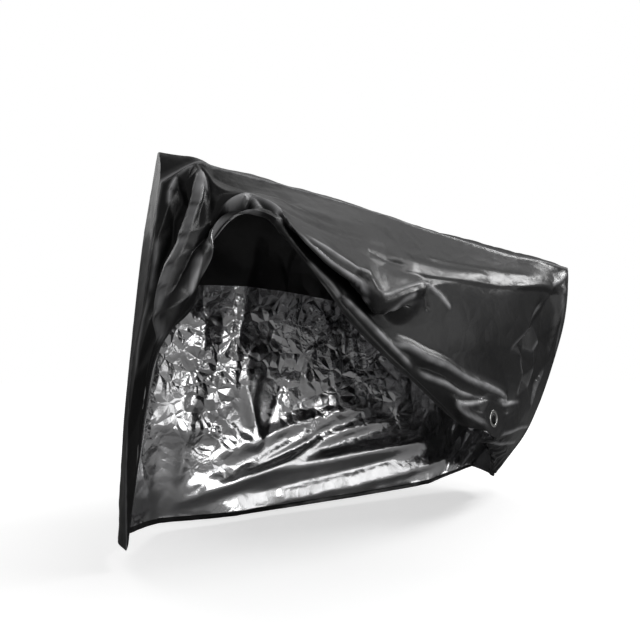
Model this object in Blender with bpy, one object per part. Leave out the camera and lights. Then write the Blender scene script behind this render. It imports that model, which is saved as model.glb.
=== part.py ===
"""Fitted cover for a bicycle, with its near side hitched up over the handlebar.

Two side panels are joined by a narrow centre strip that runs up the front, along the top and down
the rear. Each cloth piece is a thin closed sheet, swept over guide lines that a short table gives
for each section. Heights in the tables are above the floor; the finished cover is placed with its
origin where a top tube or saddle would hold it, under the ridge.

Axes: +X from front to rear, -Y the near side, +Z up. Lengths are in metres.
"""

import math

import bmesh
import bpy
import numpy as np
from mathutils import Matrix, Vector

# ---------------------------------------------------------------- driving dimensions
CLOTH = 0.002            # thickness of the coated cloth, with its coating
SEAM_GAP = 0.0005        # space between two pieces along a seam, less at its bends
HELD_AT = (-0.05, 0.0, 1.055)   # where the cover is held: under the ridge, above the floor

# The near panel's levels from the top seam down to the hem, as fractions of its depth.
NEAR_LEVELS = {"seam": 0.0, "shoulder": 0.2, "roll": 0.4, "tuck": 0.5, "band": 0.7, "gather": 0.86,
               "hem": 1.0}

# One row for each section of the near panel, from the front seam to the rear seam. The section
# starts at the seam, slopes out to the shoulder, hangs to the roll's lip, turns back in to the tuck
# and comes down again as the hem band, which the elastic gathers before the hem.
NEAR_SECTIONS = [
    # name,          seam,                  shoulder,              roll,
    #                tuck,                  band,                  gather,
    #                hem
    ("front seam", (-0.917, -0.07, 1.043), (-0.933, -0.08, 0.92), (-0.951, -0.10, 0.79),
                   (-0.959, -0.10, 0.71), (-0.983, -0.08, 0.50), (-0.985, -0.065, 0.26),
                   (-0.975, -0.05, 0.06)),
    ("first gather", (-0.814, -0.07, 1.118), (-0.816, -0.12, 1.025), (-0.836, -0.15, 0.926),
                     (-0.860, -0.17, 0.854), (-0.917, -0.21, 0.726), (-0.942, -0.22, 0.63),
                     (-0.955, -0.22, 0.547)),
    ("front fold", (-0.761, -0.07, 1.113), (-0.786, -0.14, 1.024), (-0.818, -0.18, 0.94),
                   (-0.826, -0.19, 0.89), (-0.844, -0.20, 0.808), (-0.854, -0.20, 0.745),
                   (-0.858, -0.20, 0.694)),
    ("bunched hem", (-0.709, -0.07, 1.109), (-0.741, -0.16, 1.02), (-0.765, -0.20, 0.975),
                    (-0.783, -0.205, 0.945), (-0.805, -0.20, 0.90), (-0.818, -0.195, 0.86),
                    (-0.826, -0.19, 0.831)),
    ("second gather", (-0.658, -0.07, 1.104), (-0.699, -0.18, 1.01), (-0.715, -0.22, 0.98),
                      (-0.735, -0.235, 0.962), (-0.752, -0.24, 0.947), (-0.764, -0.24, 0.937),
                      (-0.774, -0.235, 0.929)),
    ("peak", (-0.592, -0.07, 1.099), (-0.644, -0.20, 0.993), (-0.665, -0.255, 0.964),
             (-0.676, -0.268, 0.952), (-0.684, -0.275, 0.943), (-0.688, -0.275, 0.936),
             (-0.690, -0.27, 0.931)),
    ("grip", (-0.510, -0.07, 1.092), (-0.569, -0.22, 0.967), (-0.628, -0.30, 0.905),
             (-0.619, -0.275, 0.912), (-0.628, -0.275, 0.897), (-0.631, -0.275, 0.890),
             (-0.632, -0.27, 0.885)),
    ("roll", (-0.371, -0.07, 1.079), (-0.436, -0.235, 0.928), (-0.528, -0.33, 0.809),
             (-0.503, -0.285, 0.838), (-0.506, -0.28, 0.79), (-0.507, -0.28, 0.768),
             (-0.507, -0.275, 0.751)),
    ("deep roll", (-0.234, -0.07, 1.062), (-0.340, -0.24, 0.905), (-0.430, -0.33, 0.755),
                  (-0.393, -0.28, 0.79), (-0.390, -0.28, 0.70), (-0.404, -0.28, 0.673),
                  (-0.415, -0.27, 0.652)),
    ("pocket", (-0.107, -0.07, 1.045), (-0.240, -0.24, 0.872), (-0.363, -0.32, 0.694),
               (-0.316, -0.275, 0.73), (-0.288, -0.27, 0.62), (-0.291, -0.27, 0.588),
               (-0.292, -0.26, 0.561)),
    ("pocket end", (0.028, -0.07, 1.024), (-0.117, -0.235, 0.843), (-0.250, -0.295, 0.728),
                   (-0.216, -0.27, 0.70), (-0.191, -0.265, 0.57), (-0.184, -0.26, 0.524),
                   (-0.179, -0.245, 0.488)),
    ("pleat", (0.172, -0.07, 1.008), (0.021, -0.225, 0.835), (-0.085, -0.26, 0.76),
              (-0.088, -0.26, 0.68), (-0.066, -0.255, 0.537), (-0.060, -0.25, 0.465),
              (-0.058, -0.22, 0.409)),
    ("finger", (0.316, -0.08, 0.985), (0.175, -0.21, 0.839), (0.061, -0.25, 0.721),
               (0.067, -0.25, 0.639), (0.066, -0.23, 0.480), (0.045, -0.245, 0.375),
               (0.090, -0.18, 0.329)),
    ("eyelet", (0.482, -0.08, 0.967), (0.350, -0.19, 0.843), (0.249, -0.22, 0.715),
               (0.250, -0.21, 0.61), (0.280, -0.18, 0.437), (0.218, -0.20, 0.305),
               (0.241, -0.12, 0.257)),
    ("rear fold", (0.630, -0.09, 0.959), (0.531, -0.16, 0.852), (0.461, -0.17, 0.716),
                  (0.457, -0.16, 0.602), (0.453, -0.13, 0.435), (0.370, -0.15, 0.285),
                  (0.354, -0.05, 0.169)),
    ("rear seam", (0.788, -0.09, 0.943), (0.780, -0.09, 0.82), (0.762, -0.07, 0.67),
                  (0.740, -0.05, 0.57), (0.687, 0.0, 0.362), (0.612, 0.028, 0.226),
                  (0.472, 0.06, 0.088)),
]

# The far panel hangs free from the top seam to just above the floor.
FAR_LEVELS = {"seam": 0.0, "upper": 0.25, "belly": 0.5, "low": 0.78, "hem": 1.0}
FAR_SECTIONS = [
    # name,        seam,                 upper,                belly,
    #              low,                  hem
    ("front seam", (-0.900, 0.07, 1.125), (-0.925, 0.09, 0.90), (-0.945, 0.10, 0.64),
                   (-0.965, 0.10, 0.33), (-0.970, 0.10, 0.05)),
    ("front fold", (-0.795, 0.07, 1.125), (-0.825, 0.17, 0.91), (-0.835, 0.22, 0.64),
                   (-0.830, 0.25, 0.31), (-0.820, 0.26, 0.028)),
    ("far grip", (-0.600, 0.07, 1.110), (-0.600, 0.24, 0.94), (-0.600, 0.27, 0.64),
                 (-0.600, 0.28, 0.30), (-0.600, 0.265, 0.018)),
    ("middle", (-0.330, 0.07, 1.090), (-0.330, 0.26, 0.91), (-0.330, 0.29, 0.62),
               (-0.330, 0.30, 0.30), (-0.340, 0.265, 0.019)),
    ("saddle", (0.000, 0.07, 1.045), (0.000, 0.23, 0.85), (0.000, 0.27, 0.58),
               (0.000, 0.28, 0.30), (0.000, 0.255, 0.026)),
    ("rack", (0.300, 0.07, 1.005), (0.300, 0.20, 0.81), (0.290, 0.25, 0.56),
             (0.280, 0.26, 0.30), (0.270, 0.25, 0.036)),
    ("rear fold", (0.600, 0.07, 0.970), (0.600, 0.16, 0.79), (0.570, 0.20, 0.55),
                  (0.500, 0.23, 0.30), (0.400, 0.235, 0.065)),
    ("rear seam", (0.800, 0.07, 0.935), (0.790, 0.09, 0.79), (0.760, 0.10, 0.59),
                  (0.690, 0.14, 0.32), (0.500, 0.20, 0.10)),
]

# How far the centre strip's crown stands out of the line between its two seams.
CROWN_RISE = [
    # place along the strip (0-1 front, 1-2 top, 2-3 rear), forward or rearward, upward
    (0.00, -0.008, 0.000),
    (0.45, 0.008, 0.000),
    (0.80, 0.000, 0.010),
    (1.00, 0.004, 0.068),
    (1.06, 0.000, 0.034),
    (1.30, 0.000, 0.024),
    (1.60, 0.000, 0.018),
    (1.90, 0.010, 0.036),
    (2.00, 0.065, 0.026),
    (2.20, 0.035, 0.000),
    (3.00, 0.015, 0.000),
]

# Folds that stand out of the panels (+) or sink into them (-), each from one place to another.
# A place is a section number and a depth from 0 at the seam to 1 at the hem.
FOLD_ENDS = 0.2          # share of a fold's length over which it fades at each end
FOLD_EDGE = (0.35, 0.06)   # sections and depth over which folds fade towards the seams
NEAR_FOLDS = [
    # name,                from,         to,           width, height
    ("front drape a",      (0.30, 0.12), (0.25, 0.80), 0.022, 0.010),
    ("front drape b",      (0.62, 0.08), (0.60, 0.85), 0.020, -0.012),
    ("first gather ridge", (1.05, 0.06), (1.05, 0.95), 0.022, 0.018),
    ("first gather side",  (1.45, 0.10), (1.40, 0.95), 0.020, -0.012),
    ("second gather",      (4.10, 0.12), (2.60, 0.55), 0.022, -0.014),
    ("peak crease",        (4.60, 0.15), (6.00, 0.32), 0.022, 0.010),
    ("roll crest",         (6.30, 0.30), (9.00, 0.37), 0.035, 0.010),
    ("pocket crease",      (9.00, 0.41), (11.2, 0.30), 0.020, 0.012),
    ("pleat crest",        (9.00, 0.69), (13.2, 0.70), 0.024, 0.016),
    ("pleat trough",       (9.60, 0.79), (13.0, 0.73), 0.020, -0.012),
    ("pleat lip",          (10.0, 0.87), (13.0, 0.75), 0.014, 0.006),
    ("finger crest",       (11.5, 0.85), (13.8, 0.76), 0.016, 0.008),
    ("rear crease a",      (14.2, 0.28), (13.6, 0.62), 0.030, -0.014),
    ("rear crease b",      (14.7, 0.10), (14.7, 0.55), 0.026, 0.012),
    ("gather a",           (13.2, 0.95), (14.8, 0.92), 0.014, 0.008),
    ("gather b",           (13.4, 0.98), (14.8, 0.96), 0.012, -0.007),
]
FAR_FOLDS = [
    # name,           from,         to,           width, height
    ("hem tube a",    (1.00, 0.93), (5.50, 0.84), 0.030, -0.014),
    ("hem tube b",    (1.60, 0.86), (4.20, 0.70), 0.030, -0.012),
    ("front drape",   (0.60, 0.20), (0.70, 0.90), 0.035, 0.014),
    ("middle drape",  (2.40, 0.15), (2.10, 0.75), 0.040, -0.016),
    ("saddle drape",  (3.60, 0.15), (3.90, 0.70), 0.045, 0.014),
    ("rear drape",    (6.30, 0.12), (6.10, 0.80), 0.040, -0.014),
]

# The rear band is cut from the near panel here.
BAND_SECTION = 11.4
BAND_DEPTH = 0.72

# The eyelet in the rear band.
EYELET_PLACE = (12.76, 0.805)
EYELET_BORE = 0.019      # radius of the hole through the ring
EYELET_RIM = 0.029       # outer radius of the ring's flanges
EYELET_SLEEVE = 0.0012   # wall of the sleeve through the cloth
EYELET_FLANGE = 0.0014   # thickness of each flange
EYELET_ROUNDING = 0.0004   # bevel at the bore's two edges
EYELET_LIP = 0.001       # how far each flange's outer edge is rounded
EYELET_FLAT = (0.060, 0.100)   # flat round the ring, and where the cloth is free again

# Mesh steps: section lines of the near panel as (from, to, steps), rows above and in the rear band.
SECTION_STEPS = [(0.0, 3.0, 12), (3.0, 11.0, 14), (11.0, BAND_SECTION, 1), (BAND_SECTION, 15.0, 20)]
UPPER_ROWS = 10
BAND_ROWS = 8
STRIP_COLUMNS = 4
RING_STEPS = 28

# Finishes: base colour, roughness, metallic.
FINISHES = {
    "near_side_panel": ((0.020, 0.020, 0.022, 1.0), 0.42, 0.0),
    "near_rear_band": ((0.022, 0.022, 0.024, 1.0), 0.45, 0.0),
    "far_side_panel": ((0.50, 0.50, 0.51, 1.0), 0.35, 0.6),
    "centre_strip": ((0.024, 0.024, 0.026, 1.0), 0.45, 0.0),
    "eyelet_ring": ((0.72, 0.72, 0.70, 1.0), 0.25, 1.0),
}


# ---------------------------------------------------------------- small helpers
def unit(vectors):
    """Scale each vector to length 1."""
    vectors = np.asarray(vectors, float)
    length = np.linalg.norm(vectors, axis=-1, keepdims=True)
    return vectors / np.maximum(length, 1e-12)


def smooth_step(t):
    """Ease from 0 to 1."""
    t = np.clip(t, 0.0, 1.0)
    return t * t * (3.0 - 2.0 * t)


def spline(knots, values, at):
    """Read a smooth curve through values, one row of values for each place asked for.

    values has the knots on its first axis; where it has a second axis of the same length as at,
    each place reads its own column.
    """
    knots = np.asarray(knots, float)
    values = np.asarray(values, float)
    at = np.clip(np.asarray(at, float), knots[0], knots[-1])
    slopes = np.gradient(values, knots, axis=0)
    i = np.clip(np.searchsorted(knots, at, side="right") - 1, 0, len(knots) - 2)
    h = (knots[i + 1] - knots[i])[:, None]
    t = (at - knots[i])[:, None] / h
    if values.ndim == 3:
        own = np.arange(len(at))
        start, end = values[i, own], values[i + 1, own]
        leave, arrive = slopes[i, own], slopes[i + 1, own]
    else:
        start, end = values[i], values[i + 1]
        leave, arrive = slopes[i], slopes[i + 1]
    return ((2 * t**3 - 3 * t**2 + 1) * start + (t**3 - 2 * t**2 + t) * h * leave
            + (3 * t**2 - 2 * t**3) * end + (t**3 - t**2) * h * arrive)


def distance_to_path(points, path):
    """Distance from each point to a path of short straight runs, and how far along it is."""
    best = np.full(len(points), np.inf)
    along = np.zeros(len(points))
    last = len(path) - 1
    for i in range(last):
        run = path[i + 1] - path[i]
        t = np.clip((points - path[i]) @ run / max(run @ run, 1e-12), 0.0, 1.0)
        gap = np.linalg.norm(points - path[i] - t[:, None] * run, axis=1)
        nearer = gap < best
        best = np.where(nearer, gap, best)
        along = np.where(nearer, (i + t) / last, along)
    return best, along


# ---------------------------------------------------------------- the cloth's surfaces
class Panel:
    """A side panel: a smooth sheet through its sections, with folds raised on it.

    A place on it is a section number u, from the front seam to the rear seam, and a depth v, from 0
    at the top seam to 1 at the hem. side is 1 where outward is -Y and -1 where it is +Y.
    """

    def __init__(self, levels, sections, folds, side):
        self.depths = np.array(list(levels.values()))
        self.guides = np.array([row[1:] for row in sections], float)
        self.last = len(sections) - 1
        self.side = side
        self.flat = None
        self.paths = []
        for _, start, end, width, height in folds:
            t = np.linspace(0.0, 1.0, 9)
            u = start[0] + (end[0] - start[0]) * t
            v = start[1] + (end[1] - start[1]) * t
            self.paths.append((self.base(u, v), width, height))

    def base(self, u, v):
        """The sheet before its folds."""
        u, v = np.broadcast_arrays(np.asarray(u, float), np.asarray(v, float))
        numbers = np.arange(self.last + 1)
        lines = np.stack([spline(numbers, self.guides[:, k], u.ravel())
                          for k in range(len(self.depths))])
        return spline(self.depths, lines, v.ravel()).reshape(u.shape + (3,))

    def facing(self, surface, u, v, du, dv):
        """Outward normal of one of this panel's surfaces, from points a little apart."""
        u, v = np.broadcast_arrays(np.asarray(u, float), np.asarray(v, float))
        along = (surface(np.clip(u + du, 0, self.last), v)
                 - surface(np.clip(u - du, 0, self.last), v))
        down = surface(u, np.clip(v + dv, 0, 1)) - surface(u, np.clip(v - dv, 0, 1))
        return self.side * unit(np.cross(down, along))

    def folded(self, u, v):
        """The sheet with its folds."""
        u, v = np.broadcast_arrays(np.asarray(u, float), np.asarray(v, float))
        base = self.base(u, v)
        flat = base.reshape(-1, 3)
        rise = np.zeros(len(flat))
        for path, width, height in self.paths:
            gap, along = distance_to_path(flat, path)
            ends = smooth_step(along / FOLD_ENDS) * smooth_step((1.0 - along) / FOLD_ENDS)
            rise += height * ends * np.exp(-(gap / width) ** 2)
        from_seams = np.minimum(u, self.last - u)
        edge = smooth_step(v / FOLD_EDGE[1]) * smooth_step(from_seams / FOLD_EDGE[0])
        outward = self.facing(self.base, u, v, 0.02, 0.004)
        return base + outward * (rise.reshape(u.shape) * edge)[..., None]

    def flatten(self, u, v, radii):
        """Make the sheet flat round one place, within the first radius, fading to the second."""
        centre = self.folded(u, v)
        normal = self.facing(self.folded, u, v, 0.30, 0.05)
        self.flat = (centre, normal, radii)
        return centre, normal

    def point(self, u, v):
        """The finished sheet."""
        points = self.folded(u, v)
        if self.flat is None:
            return points
        centre, normal, (inner, outer) = self.flat
        away = points - centre
        height = away @ normal
        radius = np.linalg.norm(away - height[..., None] * normal, axis=-1)
        share = 1.0 - smooth_step((radius - inner) / (outer - inner))
        share = share * (np.abs(height) < outer)
        return points - normal * (height * share)[..., None]

    def normal(self, u, v):
        """Outward normal of the finished sheet."""
        return self.facing(self.point, u, v, 0.05, 0.01)

    def rim(self, places):
        """Section numbers and depths along the sewn edge: 0-1 front, 1-2 top, 2-3 rear."""
        places = np.asarray(places, float)
        u = np.clip(places - 1.0, 0.0, 1.0) * self.last
        v = np.where(places < 1.5, 1.0 - places, places - 2.0)
        return u, np.clip(v, 0.0, 1.0)


class CentreStrip:
    """The strip between both panels; w runs across it, from 0 at the near seam to 1 at the far."""

    def __init__(self, near, far, crown):
        self.near = near
        self.far = far
        self.places = np.array([row[0] for row in crown])
        self.rises = np.array([(row[1], 0.0, row[2]) for row in crown])

    def point(self, s, w):
        """A point at place s along the strip and w across it."""
        s, w = np.broadcast_arrays(np.asarray(s, float), np.asarray(w, float))
        near = self.near.point(*self.near.rim(s.ravel()))
        far = self.far.point(*self.far.rim(s.ravel()))
        rise = spline(self.places, self.rises, s.ravel())
        t = w.ravel()[:, None]
        return (near * (1 - t) + far * t + 4 * t * (1 - t) * rise).reshape(s.shape + (3,))

    def normal(self, s, w):
        """Outward normal."""
        ds, dw = 0.004, 0.02
        s, w = np.broadcast_arrays(np.asarray(s, float), np.asarray(w, float))
        along = self.point(np.clip(s + ds, 0, 3), w) - self.point(np.clip(s - ds, 0, 3), w)
        across = self.point(s, np.clip(w + dw, 0, 1)) - self.point(s, np.clip(w - dw, 0, 1))
        return unit(np.cross(along, across))

    def seam(self, panel, places, w):
        """Seam points, the normals both pieces share there, and the way into the panel.

        The way in is longer where the seam turns a corner, so that the gap keeps its width there.
        """
        points = panel.point(*panel.rim(places))
        normals = unit(panel.normal(*panel.rim(places)) + self.normal(places, w))
        runs = unit(np.diff(points, axis=0))
        before, after = np.vstack([runs[:1], runs]), np.vstack([runs, runs[-1:]])
        turn = np.linalg.norm(before + after, axis=1, keepdims=True) / 2
        inward = unit(np.cross(before + after, normals)) / np.maximum(turn, 0.5)
        return points, normals, inward * (1.0 if w < 0.5 else -1.0)


# ---------------------------------------------------------------- making solids
def thick_sheet(name, points, normals, keep):
    """Close the kept cells of a grid of points into a sheet of the cloth's thickness."""
    mesh = bmesh.new()
    layers = []
    for offset in (CLOTH / 2, -CLOTH / 2):
        grid = points + normals * offset
        layers.append([[mesh.verts.new(corner) for corner in row] for row in grid])
    outer, inner = layers
    for i, j in np.argwhere(keep):
        ring = [(i, j), (i + 1, j), (i + 1, j + 1), (i, j + 1)]
        mesh.faces.new([outer[a][b] for a, b in ring])
        mesh.faces.new([inner[a][b] for a, b in reversed(ring)])
        beyond = [(i, j - 1), (i + 1, j), (i, j + 1), (i - 1, j)]
        for side, cell in enumerate(beyond):
            inside = 0 <= cell[0] < keep.shape[0] and 0 <= cell[1] < keep.shape[1]
            if inside and keep[cell]:
                continue
            (a, b), (c, d) = ring[side], ring[(side + 1) % 4]
            mesh.faces.new((outer[c][d], outer[a][b], inner[a][b], inner[c][d]))
    bmesh.ops.delete(mesh, geom=[v for v in mesh.verts if not v.link_faces], context="VERTS")
    bmesh.ops.recalc_face_normals(mesh, faces=mesh.faces)
    bmesh.ops.triangulate(mesh, faces=mesh.faces)
    return add_object(name, mesh)


def add_object(name, mesh):
    """Put a bmesh into the scene as a smooth-shaded object with its own finish."""
    data = bpy.data.meshes.new(name)
    mesh.to_mesh(data)
    mesh.free()
    data.shade_smooth()
    data.set_sharp_from_angle(angle=math.radians(50))
    colour, roughness, metallic = FINISHES[name]
    finish = bpy.data.materials.new(name)
    finish.use_nodes = True
    shader = finish.node_tree.nodes["Principled BSDF"]
    shader.inputs["Base Color"].default_value = colour
    shader.inputs["Roughness"].default_value = roughness
    shader.inputs["Metallic"].default_value = metallic
    data.materials.append(finish)
    part = bpy.data.objects.new(name, data)
    part.location = -Vector(HELD_AT)
    bpy.context.scene.collection.objects.link(part)
    return part


def section_lines():
    """Section numbers where the near panel has a line of corners."""
    lines = [0.0]
    for start, end, steps in SECTION_STEPS:
        lines += list(np.linspace(start, end, steps + 1)[1:])
    return np.array(lines)


def depth_lines():
    """Depths where every panel has a line of corners."""
    upper = np.linspace(0.0, BAND_DEPTH, UPPER_ROWS + 1)
    band = np.linspace(BAND_DEPTH, 1.0, BAND_ROWS + 1)
    return np.concatenate([upper, band[1:]])


def all_places():
    """Places along the strip where it has a line of corners: front, top and rear."""
    depths = depth_lines()
    top = 1.0 + section_lines() / (len(NEAR_SECTIONS) - 1)
    return np.concatenate([1.0 - depths[::-1], top[1:], 2.0 + depths[1:]])


def panel_grid(panel, strip, across):
    """Points and normals of a whole panel, sewn to the strip along its front, top and rear."""
    v = depth_lines()
    u = section_lines() / (len(NEAR_SECTIONS) - 1) * panel.last
    section, depth = np.meshgrid(u, v, indexing="ij")
    points, normals = panel.point(section, depth), panel.normal(section, depth)
    line, shared, inward = strip.seam(panel, all_places(), across)
    line = line + inward * SEAM_GAP / 2
    front, rear = len(v) - 1, len(v) + len(u) - 2
    for values, seam in ((points, line), (normals, shared)):
        values[0, :] = seam[front::-1]
        values[:, 0] = seam[front:rear + 1]
        values[-1, :] = seam[rear:]
    return points, normals


def leave_gap(line, normals, towards):
    """Move a line of points half a seam gap sideways in the sheet, towards a line beside it."""
    run = unit(np.gradient(line, axis=0))
    side = unit(np.cross(run, normals))
    side *= np.sign(np.sum(side * (towards - line), axis=1, keepdims=True))
    return line + side * SEAM_GAP / 2


def make_near_side(panel, strip):
    """The near side in its two pieces: the panel, and the rear band cut from its lower corner."""
    points, normals = panel_grid(panel, strip, 0.0)
    i = int(np.argmin(abs(section_lines() - BAND_SECTION)))
    j = int(np.argmin(abs(depth_lines() - BAND_DEPTH)))
    in_band = np.zeros((points.shape[0] - 1, points.shape[1] - 1), bool)
    in_band[i:, j:] = True
    pieces = []
    for name, keep, away in (("near_side_panel", ~in_band, -1), ("near_rear_band", in_band, 1)):
        own = points.copy()
        own[i, j:] = leave_gap(points[i, j:], normals[i, j:], points[i + away, j:])
        shift = leave_gap(points[i:, j], normals[i:, j], points[i:, j + away]) - points[i:, j]
        own[i:, j] += shift
        pieces.append(thick_sheet(name, own, normals, keep))
    return pieces


def cut_eyelet_hole(band, centre, axis):
    """Cut the hole that the eyelet sits in."""
    hole = band.modifiers.new("eyelet hole", "BOOLEAN")
    hole.operation = "DIFFERENCE"
    hole.solver = "EXACT"
    hole.object = make_cutter(centre, axis)


def eyelet_turn(centre, axis):
    """The placing that turns +Z onto the eyelet's axis."""
    turn = Vector((0.0, 0.0, 1.0)).rotation_difference(Vector(axis)).to_matrix().to_4x4()
    return Matrix.Translation(Vector(centre) - Vector(HELD_AT)) @ turn


def make_cutter(centre, axis):
    """A plain cylinder that cuts the eyelet's hole in the cloth."""
    mesh = bmesh.new()
    radius = EYELET_BORE + EYELET_SLEEVE + SEAM_GAP
    bmesh.ops.create_cone(mesh, cap_ends=True, segments=RING_STEPS, radius1=radius, radius2=radius,
                          depth=10 * CLOTH)
    data = bpy.data.meshes.new("eyelet cutter")
    mesh.to_mesh(data)
    mesh.free()
    cutter = bpy.data.objects.new("eyelet cutter", data)
    cutter.matrix_world = eyelet_turn(centre, axis)
    cutter.hide_render = True
    cutter.display_type = "WIRE"
    bpy.context.scene.collection.objects.link(cutter)
    return cutter


def make_eyelet(centre, axis):
    """The metal ring: a sleeve through the cloth with a flange on each face of it."""
    seat = CLOTH / 2 + SEAM_GAP
    top = seat + EYELET_FLANGE
    sleeve = EYELET_BORE + EYELET_SLEEVE
    face = EYELET_BORE + EYELET_ROUNDING
    lip = EYELET_RIM - EYELET_LIP
    half = [(sleeve, seat), (lip, seat), (EYELET_RIM, seat + EYELET_FLANGE / 2), (lip, top),
            (face, top), (EYELET_BORE, top - EYELET_ROUNDING)]
    outline = half + [(radius, -height) for radius, height in reversed(half)]
    mesh = bmesh.new()
    loops = []
    for step in range(RING_STEPS):
        turn = 2 * math.pi * step / RING_STEPS
        loops.append([mesh.verts.new((r * math.cos(turn), r * math.sin(turn), z))
                      for r, z in outline])
    for here, there in zip(loops, loops[1:] + loops[:1]):
        for k in range(len(outline)):
            after = (k + 1) % len(outline)
            mesh.faces.new((here[k], there[k], there[after], here[after]))
    bmesh.ops.recalc_face_normals(mesh, faces=mesh.faces)
    ring = add_object("eyelet_ring", mesh)
    ring.matrix_world = eyelet_turn(centre, axis)
    return ring


def make_centre_strip(strip):
    """The narrow strip up the front, along the top and down the rear."""
    places = all_places()
    across = np.linspace(0.0, 1.0, STRIP_COLUMNS + 1)
    s, w = np.meshgrid(places, across, indexing="ij")
    points, normals = strip.point(s, w), strip.normal(s, w)
    for column, panel in ((0, strip.near), (-1, strip.far)):
        line, shared, inward = strip.seam(panel, places, across[column])
        points[:, column] = line - inward * SEAM_GAP / 2
        normals[:, column] = shared
    keep = np.ones((len(places) - 1, STRIP_COLUMNS), bool)
    return thick_sheet("centre_strip", points, normals, keep)


def make_far_panel(panel, strip):
    """The far side, down to just above the floor."""
    points, normals = panel_grid(panel, strip, 1.0)
    keep = np.ones((points.shape[0] - 1, points.shape[1] - 1), bool)
    return thick_sheet("far_side_panel", points, normals, keep)


def main():
    """Clear the scene and make the cover."""
    for old in list(bpy.data.objects):
        bpy.data.objects.remove(old, do_unlink=True)
    near = Panel(NEAR_LEVELS, NEAR_SECTIONS, NEAR_FOLDS, side=1.0)
    far = Panel(FAR_LEVELS, FAR_SECTIONS, FAR_FOLDS, side=-1.0)
    centre, axis = near.flatten(*EYELET_PLACE, EYELET_FLAT)
    strip = CentreStrip(near, far, CROWN_RISE)
    band = make_near_side(near, strip)[1]
    cut_eyelet_hole(band, centre, axis)
    make_far_panel(far, strip)
    make_centre_strip(strip)
    make_eyelet(centre, axis)


main()
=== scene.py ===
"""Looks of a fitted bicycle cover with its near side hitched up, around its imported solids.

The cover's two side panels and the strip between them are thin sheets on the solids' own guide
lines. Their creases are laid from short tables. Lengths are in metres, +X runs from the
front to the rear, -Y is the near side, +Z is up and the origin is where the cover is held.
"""

import functools
import math
from itertools import pairwise, product

import bpy
import numpy as np
from bpy.props import FloatProperty, FloatVectorProperty, IntProperty, PointerProperty
from mathutils import Matrix, Vector, geometry, kdtree, noise


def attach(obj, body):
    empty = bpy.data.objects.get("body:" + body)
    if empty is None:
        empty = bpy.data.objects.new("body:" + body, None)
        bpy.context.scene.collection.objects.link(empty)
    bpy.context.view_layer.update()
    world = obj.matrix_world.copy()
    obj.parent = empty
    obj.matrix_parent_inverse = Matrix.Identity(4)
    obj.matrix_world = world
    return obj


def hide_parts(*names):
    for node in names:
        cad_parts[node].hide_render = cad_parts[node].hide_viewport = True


bl_info = {
    "name": "Bicycle cover",
    "version": (1, 0, 0),
    "blender": (4, 5, 0),
    "location": "View3D > Sidebar > Cover",
    "description": "Builds the cloth, the stitching, the eyelet and the studio of a bicycle cover",
    "category": "Object",
}

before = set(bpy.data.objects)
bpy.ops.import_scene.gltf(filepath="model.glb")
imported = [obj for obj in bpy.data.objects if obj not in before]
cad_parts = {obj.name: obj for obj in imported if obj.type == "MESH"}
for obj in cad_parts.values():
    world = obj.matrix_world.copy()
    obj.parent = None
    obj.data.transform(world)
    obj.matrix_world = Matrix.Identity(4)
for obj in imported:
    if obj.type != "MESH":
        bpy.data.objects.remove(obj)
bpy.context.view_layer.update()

# ---------------------------------------------------------------- the solids' guide lines
HELD_AT = (-0.05, 0.0, 1.055)   # where the cover is held, in the tables' own frame on the floor

# The near panel's levels from the top seam down to the hem, as fractions of its depth.
NEAR_LEVELS = {"seam": 0.0, "shoulder": 0.2, "roll": 0.4, "tuck": 0.5, "band": 0.7, "gather": 0.86,
               "hem": 1.0}

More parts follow.
